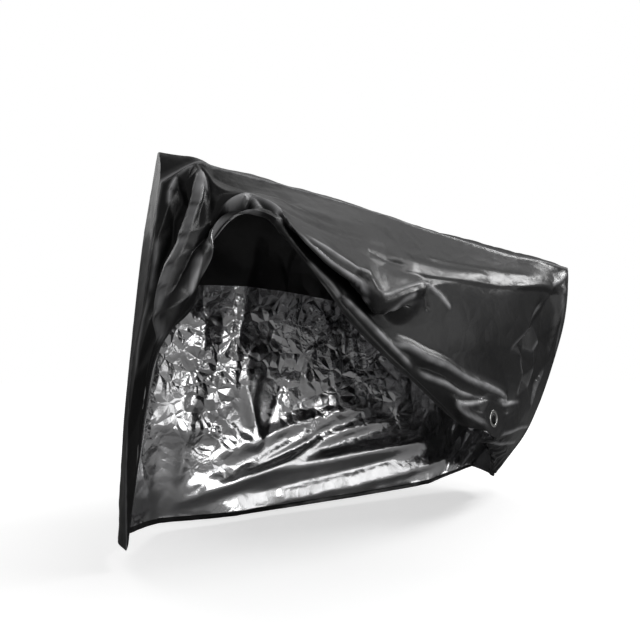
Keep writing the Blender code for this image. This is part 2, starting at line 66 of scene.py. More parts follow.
# One row for each section of the near panel, from the front seam to the rear seam.
NEAR_SECTIONS = [
    # name,          seam,                  shoulder,              roll,
    #                tuck,                  band,                  gather,
    #                hem
    ("front seam", (-0.917, -0.07, 1.043), (-0.933, -0.08, 0.92), (-0.951, -0.10, 0.79),
                   (-0.959, -0.10, 0.71), (-0.983, -0.08, 0.50), (-0.985, -0.065, 0.26),
                   (-0.975, -0.05, 0.06)),
    ("first gather", (-0.814, -0.07, 1.118), (-0.816, -0.12, 1.025), (-0.836, -0.15, 0.926),
                     (-0.860, -0.17, 0.854), (-0.917, -0.21, 0.726), (-0.942, -0.22, 0.63),
                     (-0.955, -0.22, 0.547)),
    ("front fold", (-0.761, -0.07, 1.113), (-0.786, -0.14, 1.024), (-0.818, -0.18, 0.94),
                   (-0.826, -0.19, 0.89), (-0.844, -0.20, 0.808), (-0.854, -0.20, 0.745),
                   (-0.858, -0.20, 0.694)),
    ("bunched hem", (-0.709, -0.07, 1.109), (-0.741, -0.16, 1.02), (-0.765, -0.20, 0.975),
                    (-0.783, -0.205, 0.945), (-0.805, -0.20, 0.90), (-0.818, -0.195, 0.86),
                    (-0.826, -0.19, 0.831)),
    ("second gather", (-0.658, -0.07, 1.104), (-0.699, -0.18, 1.01), (-0.715, -0.22, 0.98),
                      (-0.735, -0.235, 0.962), (-0.752, -0.24, 0.947), (-0.764, -0.24, 0.937),
                      (-0.774, -0.235, 0.929)),
    ("peak", (-0.592, -0.07, 1.099), (-0.644, -0.20, 0.993), (-0.665, -0.255, 0.964),
             (-0.676, -0.268, 0.952), (-0.684, -0.275, 0.943), (-0.688, -0.275, 0.936),
             (-0.690, -0.27, 0.931)),
    ("grip", (-0.510, -0.07, 1.092), (-0.569, -0.22, 0.967), (-0.628, -0.30, 0.905),
             (-0.619, -0.275, 0.912), (-0.628, -0.275, 0.897), (-0.631, -0.275, 0.890),
             (-0.632, -0.27, 0.885)),
    ("roll", (-0.371, -0.07, 1.079), (-0.436, -0.235, 0.928), (-0.528, -0.33, 0.809),
             (-0.503, -0.285, 0.838), (-0.506, -0.28, 0.79), (-0.507, -0.28, 0.768),
             (-0.507, -0.275, 0.751)),
    ("deep roll", (-0.234, -0.07, 1.062), (-0.340, -0.24, 0.905), (-0.430, -0.33, 0.755),
                  (-0.393, -0.28, 0.79), (-0.390, -0.28, 0.70), (-0.404, -0.28, 0.673),
                  (-0.415, -0.27, 0.652)),
    ("pocket", (-0.107, -0.07, 1.045), (-0.240, -0.24, 0.872), (-0.363, -0.32, 0.694),
               (-0.316, -0.275, 0.73), (-0.288, -0.27, 0.62), (-0.291, -0.27, 0.588),
               (-0.292, -0.26, 0.561)),
    ("pocket end", (0.028, -0.07, 1.024), (-0.117, -0.235, 0.843), (-0.250, -0.295, 0.728),
                   (-0.216, -0.27, 0.70), (-0.191, -0.265, 0.57), (-0.184, -0.26, 0.524),
                   (-0.179, -0.245, 0.488)),
    ("pleat", (0.172, -0.07, 1.008), (0.021, -0.225, 0.835), (-0.085, -0.26, 0.76),
              (-0.088, -0.26, 0.68), (-0.066, -0.255, 0.537), (-0.060, -0.25, 0.465),
              (-0.058, -0.22, 0.409)),
    ("finger", (0.316, -0.08, 0.985), (0.175, -0.21, 0.839), (0.061, -0.25, 0.721),
               (0.067, -0.25, 0.639), (0.066, -0.23, 0.480), (0.045, -0.245, 0.375),
               (0.090, -0.18, 0.329)),
    ("eyelet", (0.482, -0.08, 0.967), (0.350, -0.19, 0.843), (0.249, -0.22, 0.715),
               (0.250, -0.21, 0.61), (0.280, -0.18, 0.437), (0.218, -0.20, 0.305),
               (0.241, -0.12, 0.257)),
    ("rear fold", (0.630, -0.09, 0.959), (0.531, -0.16, 0.852), (0.461, -0.17, 0.716),
                  (0.457, -0.16, 0.602), (0.453, -0.13, 0.435), (0.370, -0.15, 0.285),
                  (0.354, -0.05, 0.169)),
    ("rear seam", (0.788, -0.09, 0.943), (0.780, -0.09, 0.82), (0.762, -0.07, 0.67),
                  (0.740, -0.05, 0.57), (0.687, 0.0, 0.362), (0.612, 0.028, 0.226),
                  (0.472, 0.06, 0.088)),
]

# The far panel hangs free from the top seam to just above the floor.
FAR_LEVELS = {"seam": 0.0, "upper": 0.25, "belly": 0.5, "low": 0.78, "hem": 1.0}
FAR_SECTIONS = [
    # name,        seam,                 upper,                belly,
    #              low,                  hem
    ("front seam", (-0.900, 0.07, 1.125), (-0.925, 0.09, 0.90), (-0.945, 0.10, 0.64),
                   (-0.965, 0.10, 0.33), (-0.970, 0.10, 0.05)),
    ("front fold", (-0.795, 0.07, 1.125), (-0.825, 0.17, 0.91), (-0.835, 0.22, 0.64),
                   (-0.830, 0.25, 0.31), (-0.820, 0.26, 0.028)),
    ("far grip", (-0.600, 0.07, 1.110), (-0.600, 0.24, 0.94), (-0.600, 0.27, 0.64),
                 (-0.600, 0.28, 0.30), (-0.600, 0.265, 0.018)),
    ("middle", (-0.330, 0.07, 1.090), (-0.330, 0.26, 0.91), (-0.330, 0.29, 0.62),
               (-0.330, 0.30, 0.30), (-0.340, 0.265, 0.019)),
    ("saddle", (0.000, 0.07, 1.045), (0.000, 0.23, 0.85), (0.000, 0.27, 0.58),
               (0.000, 0.28, 0.30), (0.000, 0.255, 0.026)),
    ("rack", (0.300, 0.07, 1.005), (0.300, 0.20, 0.81), (0.290, 0.25, 0.56),
             (0.280, 0.26, 0.30), (0.270, 0.25, 0.036)),
    ("rear fold", (0.600, 0.07, 0.970), (0.600, 0.16, 0.79), (0.570, 0.20, 0.55),
                  (0.500, 0.23, 0.30), (0.400, 0.235, 0.065)),
    ("rear seam", (0.800, 0.07, 0.935), (0.790, 0.09, 0.79), (0.760, 0.10, 0.59),
                  (0.690, 0.14, 0.32), (0.500, 0.20, 0.10)),
]

# How far the centre strip's crown stands out of the line between its two seams.
CROWN_RISE = [
    # place along the strip (0-1 front, 1-2 top, 2-3 rear), forward or rearward, upward
    (0.00, -0.008, 0.000),
    (0.45, 0.008, 0.000),
    (0.80, 0.000, 0.010),
    (1.00, 0.004, 0.068),
    (1.06, 0.000, 0.034),
    (1.30, 0.000, 0.024),
    (1.60, 0.000, 0.018),
    (1.90, 0.010, 0.036),
    (2.00, 0.065, 0.026),
    (2.20, 0.035, 0.000),
    (3.00, 0.015, 0.000),
]

# Those of the solids' folds that the sheets keep. The finer creases below are laid on them, and
# take the place of the rest. A place is a section number and a depth, 0 at the seam, 1 at the hem.
FOLD_ENDS = 0.2            # share of a fold's length over which it fades at each end
FOLD_EDGE = (0.35, 0.06)   # sections and depth over which folds fade towards the seams
FOLD_STEPS = 9             # points along a fold, and along each stretch of a crease
NEAR_FOLDS = [
    # name,                kind,    from,         to,           width, height
    ("first gather ridge", "ridge", (1.05, 0.06), (1.05, 0.95), 0.022, 0.018),
    ("roll crest",         "soft",  (6.30, 0.30), (9.00, 0.37), 0.035, 0.010),
    ("pleat crest",        "ridge", (9.00, 0.69), (13.2, 0.70), 0.024, 0.016),
    ("pleat trough",       "ridge", (9.60, 0.79), (13.0, 0.73), 0.020, -0.012),
    ("finger crest",       "ridge", (11.5, 0.85), (13.8, 0.76), 0.016, 0.008),
    ("rear crease a",      "ridge", (14.2, 0.28), (13.6, 0.62), 0.030, -0.014),
    ("rear crease b",      "ridge", (14.7, 0.10), (14.7, 0.55), 0.026, 0.012),
    ("gather a",           "ridge", (13.2, 0.95), (14.8, 0.92), 0.014, 0.008),
    ("gather b",           "ridge", (13.4, 0.98), (14.8, 0.96), 0.012, -0.007),
]
FAR_FOLDS = [
    # name,           kind,    from,         to,           width, height
    ("hem tube a",    "soft",  (1.00, 0.93), (5.50, 0.84), 0.030, -0.014),
    ("hem tube b",    "soft",  (1.60, 0.86), (4.20, 0.70), 0.030, -0.012),
    ("front drape",   "ridge", (0.60, 0.20), (0.70, 0.90), 0.035, 0.014),
    ("middle drape",  "ridge", (2.40, 0.15), (2.10, 0.75), 0.040, -0.016),
    ("saddle drape",  "ridge", (3.60, 0.15), (3.90, 0.70), 0.045, 0.014),
    ("rear drape",    "ridge", (6.30, 0.12), (6.10, 0.80), 0.040, -0.014),
]

EYELET_PLACE = (12.76, 0.805)   # section and depth of the eyelet's centre

# ---------------------------------------------------------------- the listed creases
# Kinds: "soft" is a rounded fold, "ridge" a sharp crease with hollow flanks, "tent" a sharp crease
# between two flat flanks, "brow" a tent without a painted highlight line, and "lap" a layer that
# ends in a step along its line. Raised ridges, tents and laps get a painted highlight line along
# their crest. Widths are at the start and the end, but those of a tent, a brow and a lap are on
# the left and on the right of its run as the outside is seen; a lap is raised on the left. Heights
# are outward, and a minus sign sinks it in.
NEAR_CREASES = [
    # name, kind, widths, height, places
    # along the top
    ("long fold a", "soft", (0.014, 0.030), 0.003, ((3.80, 0.12), (6.20, 0.14), (8.80, 0.10))),
    ("long fold b", "soft", (0.012, 0.024), -0.003, ((5.00, 0.24), (7.00, 0.22), (9.20, 0.17))),
    ("shoulder brow", "soft", (0.036, 0.032), 0.006,
     ((8.90, 0.205), (10.0, 0.195), (11.0, 0.190), (12.7, 0.188), (13.8, 0.188), (14.5, 0.165))),
    ("shoulder turn", "soft", (0.034, 0.030), 0.006,
     ((8.70, 0.210), (9.70, 0.197), (11.0, 0.191), (12.2, 0.190))),
    ("shoulder edge", "brow", (0.026, 0.008), 0.003,
     ((9.20, 0.238), (10.0, 0.230), (12.2, 0.241), (13.5, 0.234), (14.3, 0.20))),
    ("shoulder tip", "brow", (0.022, 0.010), 0.006, ((12.9, 0.248), (13.6, 0.242), (14.4, 0.215))),
    ("shoulder line", "ridge", (0.010, 0.010), -0.004, ((8.00, 0.23), (8.60, 0.225), (9.40, 0.22))),
    ("upper branch", "soft", (0.010, 0.020), 0.004,
     ((9.90, 0.14), (10.8, 0.14), (12.1, 0.15), (13.7, 0.17))),
    ("corner crease", "ridge", (0.006, 0.010), 0.006, ((14.3, 0.19), (14.65, 0.11), (14.95, 0.03))),
    # the roll and the pocket under it
    ("roll edge", "ridge", (0.008, 0.010), 0.007,
     ((6.12, 0.38), (6.98, 0.37), (7.98, 0.375), (8.60, 0.42))),
    ("roll valley", "soft", (0.006, 0.008), -0.006, ((6.30, 0.36), (7.20, 0.35), (8.30, 0.36))),
    ("roll second edge", "ridge", (0.008, 0.012), 0.006,
     ((6.30, 0.335), (7.20, 0.325), (8.20, 0.33))),
    ("pocket brow", "brow", (0.105, 0.022), 0.018,
     ((7.60, 0.335), (8.50, 0.350), (9.30, 0.345), (10.0, 0.345), (10.6, 0.330))),
    ("pocket upper line", "ridge", (0.006, 0.008), 0.004,
     ((8.43, 0.345), (9.40, 0.31), (10.2, 0.29), (10.5, 0.29))),
    ("pocket lower line", "ridge", (0.006, 0.010), 0.007,
     ((8.60, 0.50), (9.20, 0.44), (9.83, 0.40), (10.28, 0.37))),
    ("pocket drop", "ridge", (0.008, 0.014), 0.007, ((10.45, 0.30), (10.93, 0.39), (11.4, 0.44))),
    ("pocket wedge", "ridge", (0.008, 0.010), -0.008, ((10.45, 0.30), (10.6, 0.38), (10.7, 0.48))),
    # the hem band with its long pleat and finger
    ("band upper line", "tent", (0.016, 0.010), 0.008,
     ((7.40, 0.80), (8.12, 0.79), (8.95, 0.78), (9.93, 0.85))),
    ("band fold", "ridge", (0.008, 0.010), 0.006, ((6.53, 0.88), (7.05, 0.80), (7.40, 0.87))),
    ("band lower line", "ridge", (0.006, 0.006), -0.004,
     ((6.60, 0.86), (8.20, 0.88), (9.80, 0.93))),
    ("pleat upper", "tent", (0.034, 0.006), 0.013,
     ((9.03, 0.72), (9.83, 0.68), (10.75, 0.70), (12.33, 0.69), (13.20, 0.72))),
    ("pleat lower", "tent", (0.050, 0.012), 0.011,
     ((10.08, 0.86), (10.73, 0.84), (12.05, 0.75), (12.93, 0.73), (13.20, 0.73))),
    ("finger", "lap", (0.030, 0.009), 0.007,
     ((13.80, 0.74), (13.15, 0.74), (12.43, 0.755), (11.70, 0.83), (11.60, 0.85), (11.75, 0.86),
      (12.35, 0.84), (12.80, 0.86))),
    ("finger middle", "ridge", (0.004, 0.008), -0.004, ((12.0, 0.82), (12.8, 0.77), (13.3, 0.77))),
    ("gather line", "lap", (0.022, 0.008), 0.012,
     ((12.4, 0.955), (12.75, 0.92), (13.15, 0.865), (13.68, 0.85), (14.5, 0.82), (14.95, 0.80))),
    ("bunch a", "ridge", (0.004, 0.006), 0.007,
     ((2.10, 0.88), (3.00, 0.84), (3.90, 0.86), (4.90, 0.91))),
    ("bunch b", "ridge", (0.004, 0.006), -0.005, ((2.30, 0.93), (3.40, 0.90), (4.70, 0.94))),
    ("gather second", "ridge", (0.006, 0.010), 0.006, ((13.0, 0.94), (13.7, 0.91), (14.6, 0.88))),
]

# Flat facets with sharp edges. Corners are a section, a depth and a height. The runs of named
# corners are creases, and the rest are joined to their neighbours.
FRONT_HIGHLIGHT = 0.9       # strength of the painted highlight lines along the raised creases between the facets
REAR_HIGHLIGHT = 0.3
FRONT_FACETS = {
    # corner:          (section, depth, height)
    "seam a": (0.00, 0.00, 0.0), "seam b": (0.00, 0.14, 0.0), "seam c": (0.00, 0.35, 0.0),
    "seam d": (0.00, 0.60, 0.0), "seam e": (0.00, 0.80, 0.0), "seam f": (0.00, 1.00, 0.0),
    "ridge a": (0.50, 0.00, 0.0), "first point": (0.98, 0.00, 0.0), "ridge b": (2.20, 0.00, 0.0),
    "ridge c": (4.05, 0.00, 0.0), "ridge d": (5.40, 0.00, 0.0), "rest a": (6.20, 0.15, 0.0),
    "rest b": (6.20, 0.40, 0.0), "rest c": (6.10, 0.70, 0.0), "rest d": (6.10, 1.00, 0.0),
    "hem a": (1.10, 1.00, 0.0), "hem b": (2.00, 1.00, 0.0), "hem c": (3.00, 1.00, 0.0),
    "hem d": (4.00, 1.00, 0.0), "hem e": (5.00, 1.00, 0.0),
    "fold top": (0.84, 0.012, 0.010), "fold a": (0.42, 0.035, 0.017), "fold b": (0.28, 0.08, 0.018),
    "fold c": (0.28, 0.15, 0.008), "tuck a": (0.45, 0.075, -0.008), "tuck b": (0.64, 0.11, 0.014),
    "tuck c": (0.53, 0.17, -0.014), "dark a": (0.36, 0.24, -0.018), "dark b": (0.36, 0.34, -0.023),
    "dark c": (0.60, 0.50, -0.029), "dark d": (0.80, 0.70, -0.021), "dark e": (0.90, 0.86, -0.013),
    "crest a": (0.13, 0.30, 0.010), "crest b": (0.20, 0.52, 0.013), "crest c": (0.30, 0.75, 0.013),
    "swell a": (0.72, 0.28, -0.004), "swell b": (0.50, 0.66, 0.008),
    "blade top": (1.07, 0.11, 0.025), "blade a": (0.98, 0.34, 0.025), "blade b": (1.04, 0.50, 0.027),
    "blade c": (1.04, 0.63, 0.029), "blade d": (1.04, 0.72, 0.027), "blade e": (1.06, 0.84, 0.023),
    "blade f": (1.08, 0.94, 0.013), "blade edge": (1.30, 0.24, 0.008),
    "groove": (1.50, 0.15, -0.018), "quad left": (2.25, 0.45, -0.008),
    "quad low": (3.10, 0.47, 0.025), "quad right": (3.80, 0.40, 0.029),
    "second point": (3.90, 0.26, 0.017), "quad middle": (2.60, 0.27, 0.013),
    "under a": (2.35, 0.52, -0.025), "under b": (3.20, 0.535, -0.029), "under c": (3.98, 0.46, -0.021),
    "drop top": (1.45, 0.56, -0.013), "drop right": (1.80, 0.63, 0.017),
    "drop foot": (1.60, 0.84, 0.017), "drop left": (1.28, 0.70, -0.025),
    "lip a": (2.60, 0.76, 0.017), "lip b": (3.50, 0.74, 0.017), "lip c": (3.20, 0.88, -0.013),
    "lip d": (4.30, 0.74, -0.013), "wrinkle": (4.10, 0.11, -0.013),
    "fan a": (4.70, 0.86, 0.014), "fan b": (5.60, 0.78, 0.013), "fan valley": (4.85, 0.50, -0.014),
    "soft": (5.30, 0.30, 0.010),
}
FRONT_CREASES = [
    ("first point", "fold top", "fold a", "fold b", "fold c"), ("tuck a", "tuck b"),
    ("first point", "tuck b", "tuck c"), ("dark a", "dark b", "dark c", "dark d", "dark e"),
    ("crest a", "crest b", "crest c"),
    ("first point", "blade top", "blade a", "blade b", "blade c", "blade d", "blade e", "blade f"),
    ("blade top", "blade edge"), ("first point", "groove", "quad left"),
    ("first point", "second point"), ("quad left", "quad low", "quad right", "second point"),
    ("under a", "under b", "under c"), ("second point", "fan a"), ("second point", "fan b"),
    ("second point", "wrinkle"), ("second point", "soft"), ("drop top", "drop right", "drop foot"),
    ("drop top", "drop left"), ("lip a", "lip b"),
]
REAR_FACETS = {
    # corner:          (section, depth, height)
    "rest a": (12.6, 0.10, 0.0), "rest b": (12.5, 0.30, 0.0), "rest c": (12.4, 0.50, 0.0),
    "rest d": (12.6, 0.66, 0.0), "rest e": (13.3, 0.76, 0.0), "top a": (13.6, 0.08, 0.0),
    "top b": (14.4, 0.08, 0.0), "seam a": (15.0, 0.00, 0.0), "seam b": (15.0, 0.20, 0.0),
    "seam c": (15.0, 0.40, 0.0), "seam d": (15.0, 0.60, 0.0), "seam e": (15.0, 0.80, 0.0),
    "foot a": (13.9, 0.82, 0.0), "foot b": (14.6, 0.80, 0.0),
    "upright a": (14.80, 0.10, 0.008), "upright b": (14.64, 0.21, 0.016),
    "upright c": (14.75, 0.36, 0.016), "upright d": (14.88, 0.48, 0.010),
    "crest tip": (14.40, 0.19, 0.006), "edge a": (14.42, 0.24, -0.014), "edge b": (14.30, 0.36, -0.016),
    "edge c": (14.34, 0.46, -0.013), "edge d": (14.40, 0.56, -0.013), "edge e": (14.50, 0.64, -0.006),
    "slant a": (14.18, 0.33, 0.008), "slant b": (13.85, 0.44, 0.014), "slant c": (13.25, 0.51, 0.005),
    "gap a": (14.10, 0.42, -0.010), "gap b": (13.60, 0.49, -0.010),
    "second a": (14.20, 0.47, 0.008), "second b": (14.00, 0.51, 0.013),
    "wave a": (13.05, 0.585, -0.005), "wave b": (13.60, 0.535, 0.013), "wave c": (13.80, 0.55, -0.006),
    "line a": (13.66, 0.62, 0.013), "line b": (13.56, 0.71, 0.008), "line gap": (13.80, 0.64, -0.013),
    "fold a": (14.10, 0.58, 0.014), "fold b": (13.96, 0.68, 0.013), "fold gap": (14.22, 0.67, -0.011),
    "tail a": (14.60, 0.56, 0.010), "tail b": (14.42, 0.74, 0.013),
}
REAR_CREASES = [
    ("seam a", "upright a", "upright b", "upright c", "upright d"),
    ("crest tip", "edge a", "edge b", "edge c", "edge d", "edge e"),
    ("slant a", "slant b", "slant c"), ("gap a", "gap b"), ("second a", "second b"),
    ("wave a", "wave b", "line a", "line b"), ("wave c", "line gap"), ("fold a", "fold b"),
    ("fold gap", "edge d"), ("tail a", "tail b"),
]

# Heights on the far panel are outward too, so what stands towards the inside is negative.
FAR_CREASES = [
    # name, kind, widths, height, places
    ("tube a", "soft", (0.014, 0.022), -0.010,
     ((1.18, 0.96), (1.83, 0.93), (2.99, 0.87), (3.70, 0.80), (4.60, 0.76))),
    ("tube a groove", "ridge", (0.004, 0.008), 0.006, ((1.50, 0.925), (2.40, 0.885), (3.40, 0.81))),
    ("tube b", "soft", (0.012, 0.018), -0.008, ((2.12, 0.90), (3.00, 0.83), (3.60, 0.755))),
    ("bright band", "tent", (0.012, 0.052), -0.005,
     ((1.60, 0.992), (2.83, 0.985), (3.82, 0.968), (4.80, 0.95), (5.80, 0.93))),
    ("band groove", "ridge", (0.006, 0.010), 0.006, ((2.40, 0.955), (3.40, 0.930), (4.60, 0.895))),
    ("tall crease a", "ridge", (0.010, 0.020), -0.014,
     ((1.75, 0.40), (1.62, 0.60), (1.45, 0.80), (1.30, 0.92))),
    ("tall crease b", "ridge", (0.010, 0.020), 0.012, ((2.05, 0.42), (1.85, 0.62), (1.70, 0.84))),
    ("tall crease c", "ridge", (0.010, 0.018), -0.012, ((2.45, 0.50), (2.35, 0.66), (2.55, 0.80))),
    ("fan a", "ridge", (0.006, 0.020), -0.010, ((2.60, 0.84), (2.45, 0.72), (2.55, 0.58))),
    ("fan b", "ridge", (0.006, 0.020), 0.010, ((2.60, 0.84), (2.80, 0.72), (2.95, 0.62))),
    ("fan c", "ridge", (0.006, 0.018), -0.009, ((2.60, 0.84), (2.20, 0.78), (1.90, 0.70))),
    ("bend above", "ridge", (0.012, 0.020), 0.012,
     ((3.10, 0.30), (3.60, 0.42), (3.70, 0.58), (3.30, 0.70))),
    ("bend middle", "ridge", (0.012, 0.020), -0.012, ((3.80, 0.34), (3.30, 0.48), (3.20, 0.66))),
    ("top drape a", "soft", (0.020, 0.030), -0.010, ((1.20, 0.04), (1.25, 0.25), (1.60, 0.50))),
    ("top drape b", "soft", (0.020, 0.034), 0.010, ((4.60, 0.05), (4.75, 0.30), (4.90, 0.60))),
    ("top drape c", "soft", (0.020, 0.034), -0.010, ((5.50, 0.06), (5.40, 0.35), (5.60, 0.75))),
    ("rear tail a", "ridge", (0.008, 0.020), 0.010, ((6.85, 0.30), (6.60, 0.50), (6.50, 0.80))),
    ("rear tail b", "ridge", (0.008, 0.018), -0.009, ((6.60, 0.20), (6.30, 0.45), (6.30, 0.70))),
    ("front edge a", "soft", (0.012, 0.018), -0.009, ((0.35, 0.12), (0.40, 0.45), (0.35, 0.85))),
]

# Crumpling: random facets of several sizes. Patches make it stronger or weaker round a place.
FACET_SPREAD = 0.48      # how far a facet's corner may stray, in the facets' size
FINE_FACETS = (0.75, -0.2, 0.06)   # the finer facets' strength: factor of this one, offset, least
FAR_CRUMPLE = [
    # facet size in cells, height
    (44, 0.014),
    (19, 0.0110),
    (9, 0.0075),
]
FAR_PATCHES = [
    # section, depth, half width in sections, half height in depth, change
    (3.45, 0.46, 0.95, 0.17, 1.0),     # most crumpled where it hangs folded
    (1.85, 0.66, 0.45, 0.20, 0.7),     # tall facets near the front
    (2.45, 0.68, 0.35, 0.14, -0.45),   # smooth cloth between them
    (3.60, 0.92, 3.00, 0.08, -0.45),   # along the hem's long tubes
]
FAR_REST = 0.55          # strength away from the patches
# Above this row the far side's inside is black: painted shade under the top of the cover.
LINING_ROW = 45          # row of the far side's grid from which the inside is silver
NEAR_CRUMPLE = [
    (34, 0.0018),
    (13, 0.0006),
]

# A calm stretch between the top and the pocket, without the solid's own bumps: its middle, half its
# size in sections and in depth, and how many times it is evened out along and down.
NEAR_CALM = (8.80, 0.235, 1.50, 0.085, 300, 60)

# The flat place over the pocket: its middle, its facing, where it is flat and where it is free.
POCKET_PLACE = (9.90, 0.345)
POCKET_FACING = (0.15, -0.950, 0.25)
POCKET_FLAT = (0.035, 0.080)

# How the creases are drawn.
CREASE_REACH = 4         # how far a crease is felt, in its own widths
CREASE_LAYER = 0.07      # depth within which it is on its own layer, and over which it then fades
CREASE_ENDS = 0.12       # share of its length over which it fades at each end
SHARP_CREST = 0.0012     # radius of a sharp crease's crest
MARK_WIDTH = 0.0062      # half width of the painted highlight line along a crease
MARK_HEIGHT = 0.007      # height from which a crease's painted highlight line is at full strength
PAINTED_HIGHLIGHT_COLOUR = (0.50, 0.50, 0.51)   # painted highlight colour, blended in where a crease's or a seam's highlight line is at full strength
FRONT_MARK_WIDTH = 0.007   # half width of the painted highlight line along the front seam
TOP_MARK = 0.4           # strength of the painted highlight line along the top seam
STRIP_MARK = (0.8, 0.004)   # strength of the painted highlight lines along the strip's seams, and their half width
MARK_PATCHES = (0.85, 0.6, 0.03)   # the painted highlight lines' mean strength, its unevenness and that one's size
TIGHTEST_BEND = math.cos(math.radians(62.0))   # between two neighbouring cells
EASE_TIMES = 8           # how many times tighter bends are evened out
HEM_FIRM = (0.03, 0.01)  # bends this near to the hem stay, and the distance over which that ends
SEAM_FIRM = (0.012, 0.01)   # the same beside a seam
HIGHLIGHT_STEPS = 12           # points along the painted highlight line of a facet's edge
HIGHLIGHT_ENDS = (0.05, 0.2)   # how far past its ends it would run, and the share over which it fades

# The cloth's small unevenness: its height, its size and, beside a seam or the hem, its reach.
NEAR_SLOW = (0.0022, 0.20)
NEAR_SMALL = (0.0003, 0.045)
STRIP_SLOW = (0.0045, 0.09)
STRIP_SMALL = (0.0016, 0.035)
SEAM_PUCKERS = (0.0022, 0.022, 0.022)
STRIP_PUCKERS = (0.0014, 0.02, 0.02)
HEM_PUCKERS = (0.0020, 0.028, 0.018)
HEM_WAVE = (0.006, 0.11, 0.07)
PUCKER_START = 0.006     # distance from a seam at which its puckers are at their full height
DRAWN_OUT = np.array([1.0, 0.15, 1.0])   # draws the swells out from side to side
FREE_FROM = 0.03         # distance from a seam at which a side panel's cloth is free of it
STRIP_FREE_FROM = 0.02   # and the centre strip's
LAID_FROM = 0.012        # distance from a seam at which the laid creases are at their full height
CRUMPLE_FROM = 0.05      # and the crumpling
CRUMPLE_AT_HEM = (0.01, 0.03)   # an offset and a distance over which it fades at the hem

HEM_LAYER = 0.0007       # extra thickness of the turned hem
HEM_STEP = (0.001, 0.0016)   # how far inside the hem's width it starts to fade, and over how much
HEM_GROOVE = (0.0006, 0.0012)   # depth and half width of the groove that its stitching makes
HEM_STITCHING = (0.003, 0.002)  # the stitching's distances from the hem's lower and upper edge
WELT_WIDTH = 0.0042      # half width of the ridge along a seam

# The elastic's pleats in the rear hem: the sections where they start and end, with the sections over
# which they do, their height, their length along the hem, the length over which that length
# changes, how much it changes, and how far up the cloth they reach.
GATHER_START = (12.6, 0.8)
GATHER_END = (15.3, 0.4)
GATHER_HEIGHT = 0.0085
GATHER_LENGTH = 0.027
GATHER_CHANGE = (0.094, 2.6)
GATHER_REACH = 0.085

# ---------------------------------------------------------------- the sheets' grids
COLUMNS = 330            # cells along each side panel
ROWS = 138               # cells down each side panel
STRIP_CELLS = 20         # cells across the centre strip
STRIP_SEAM_LINES = 4     # how many of the lines beside a seam the centre strip has
SEAM_LINES = (0.0, 0.0015, 0.003, 0.0055, 0.009)   # grid lines beside a seam, by their distance
HEM_LINES = (0.024, 0.018, 0.0165, 0.015, 0.009, 0.003, 0.0012, 0.0)   # and beside the hem
SEAM_GAP = 0.0004        # space between two sheets along a seam
GUIDE_STEPS = (1200, 300)   # steps along and down by which the guide lines are measured
LENGTH_DEPTHS = (0.02, 0.4, 0.97)   # depths at which a panel's length is measured
FACING_STEP = (0.02, 0.004)   # how far apart a surface is read for its facing, along and down
EYELET_FACING = (0.30, 0.05)  # the same for the eyelet
SHEET_EDGE = math.radians(70.0)   # bends above which a sheet's edge is drawn sharp

# ---------------------------------------------------------------- the eyelet and the stitching
EYELET_BORE = 0.019      # radii of the bore and of the flange's outer edge
EYELET_RIM = 0.029
EYELET_SLEEVE = 0.0012   # thickness of the sleeve through the cloth
EYELET_SEAT = 0.0015     # from the cloth's middle to the edge of each flange
EYELET_UNDERCUT = 0.0003   # how much nearer to the cloth the flange's underside is
EYELET_ROUNDING = 0.001  # how far the underside ends inside the flange's edge
EYELET_REACH = 0.02      # how near to the eyelet, along its axis, the cloth is cut
EYELET_STEPS = 72        # steps round the ring
FLANGE_POINTS = 11       # points over the rounded top of a flange
EYELET_EDGE = math.radians(50.0)   # bends above which the eyelet's edge is drawn sharp
EYELET_FLAT = (0.034, 0.085)   # flat round the ring, and where the cloth is free again
SOLID_FLAT = (0.060, 0.100)    # the same on the solid, which gives the eyelet's own axis

STITCH_RADIUS = 0.0005   # half a stitch's thickness
STITCH_SIDES = 5         # corners round a stitch
STITCH_BODY = (0.22, 0.78)   # where along a stitch its full thickness starts and ends
STITCH_SUNK = 0.3        # how deep its ends lie, and how high its body, in its radius
STITCH_RAISED = 0.5
SEAM_STITCHING = 0.0062  # from a seam to the stitching beside it
STRIP_STITCHING = (3, -4)   # the centre strip's grid lines that its stitching follows

# ---------------------------------------------------------------- the studio
CAMERA_AT = (-1.22, -1.58, -0.505)
LIGHTS_AIM = (0.25, -0.20, -0.22)   # what the soft boxes face

# Soft boxes round the cover. The heading runs from +X towards +Y, both angles are in degrees, and
# the brightness is that of the soft box's face.
LIGHTS = [
    # name,             heading, elevation, distance, size,       brightness
    ("right soft box",  -14.0,   35.0,      2.8,      (0.9, 0.42), 24.0),
    ("front soft box",  -66.0,   56.0,      2.6,      (1.6, 0.50), 7.0),
    ("low soft box",    -54.0,   -2.0,      2.6,      (1.8, 1.30), 0.95),
    ("front low box",   -94.0,   8.0,       2.4,      (1.3, 1.30), 2.2),
    ("left soft box",   135.0,   28.0,      2.8,      (1.2, 1.50), 1.5),
    ("top soft box",    45.0,    66.0,      2.6,      (3.0, 2.0), 0.6),
]
FLOOR_REACH = 14.0       # half the floor's side
FLOOR_DIMMED = 0.28      # the floor's brightness in reflections, as a share of its own


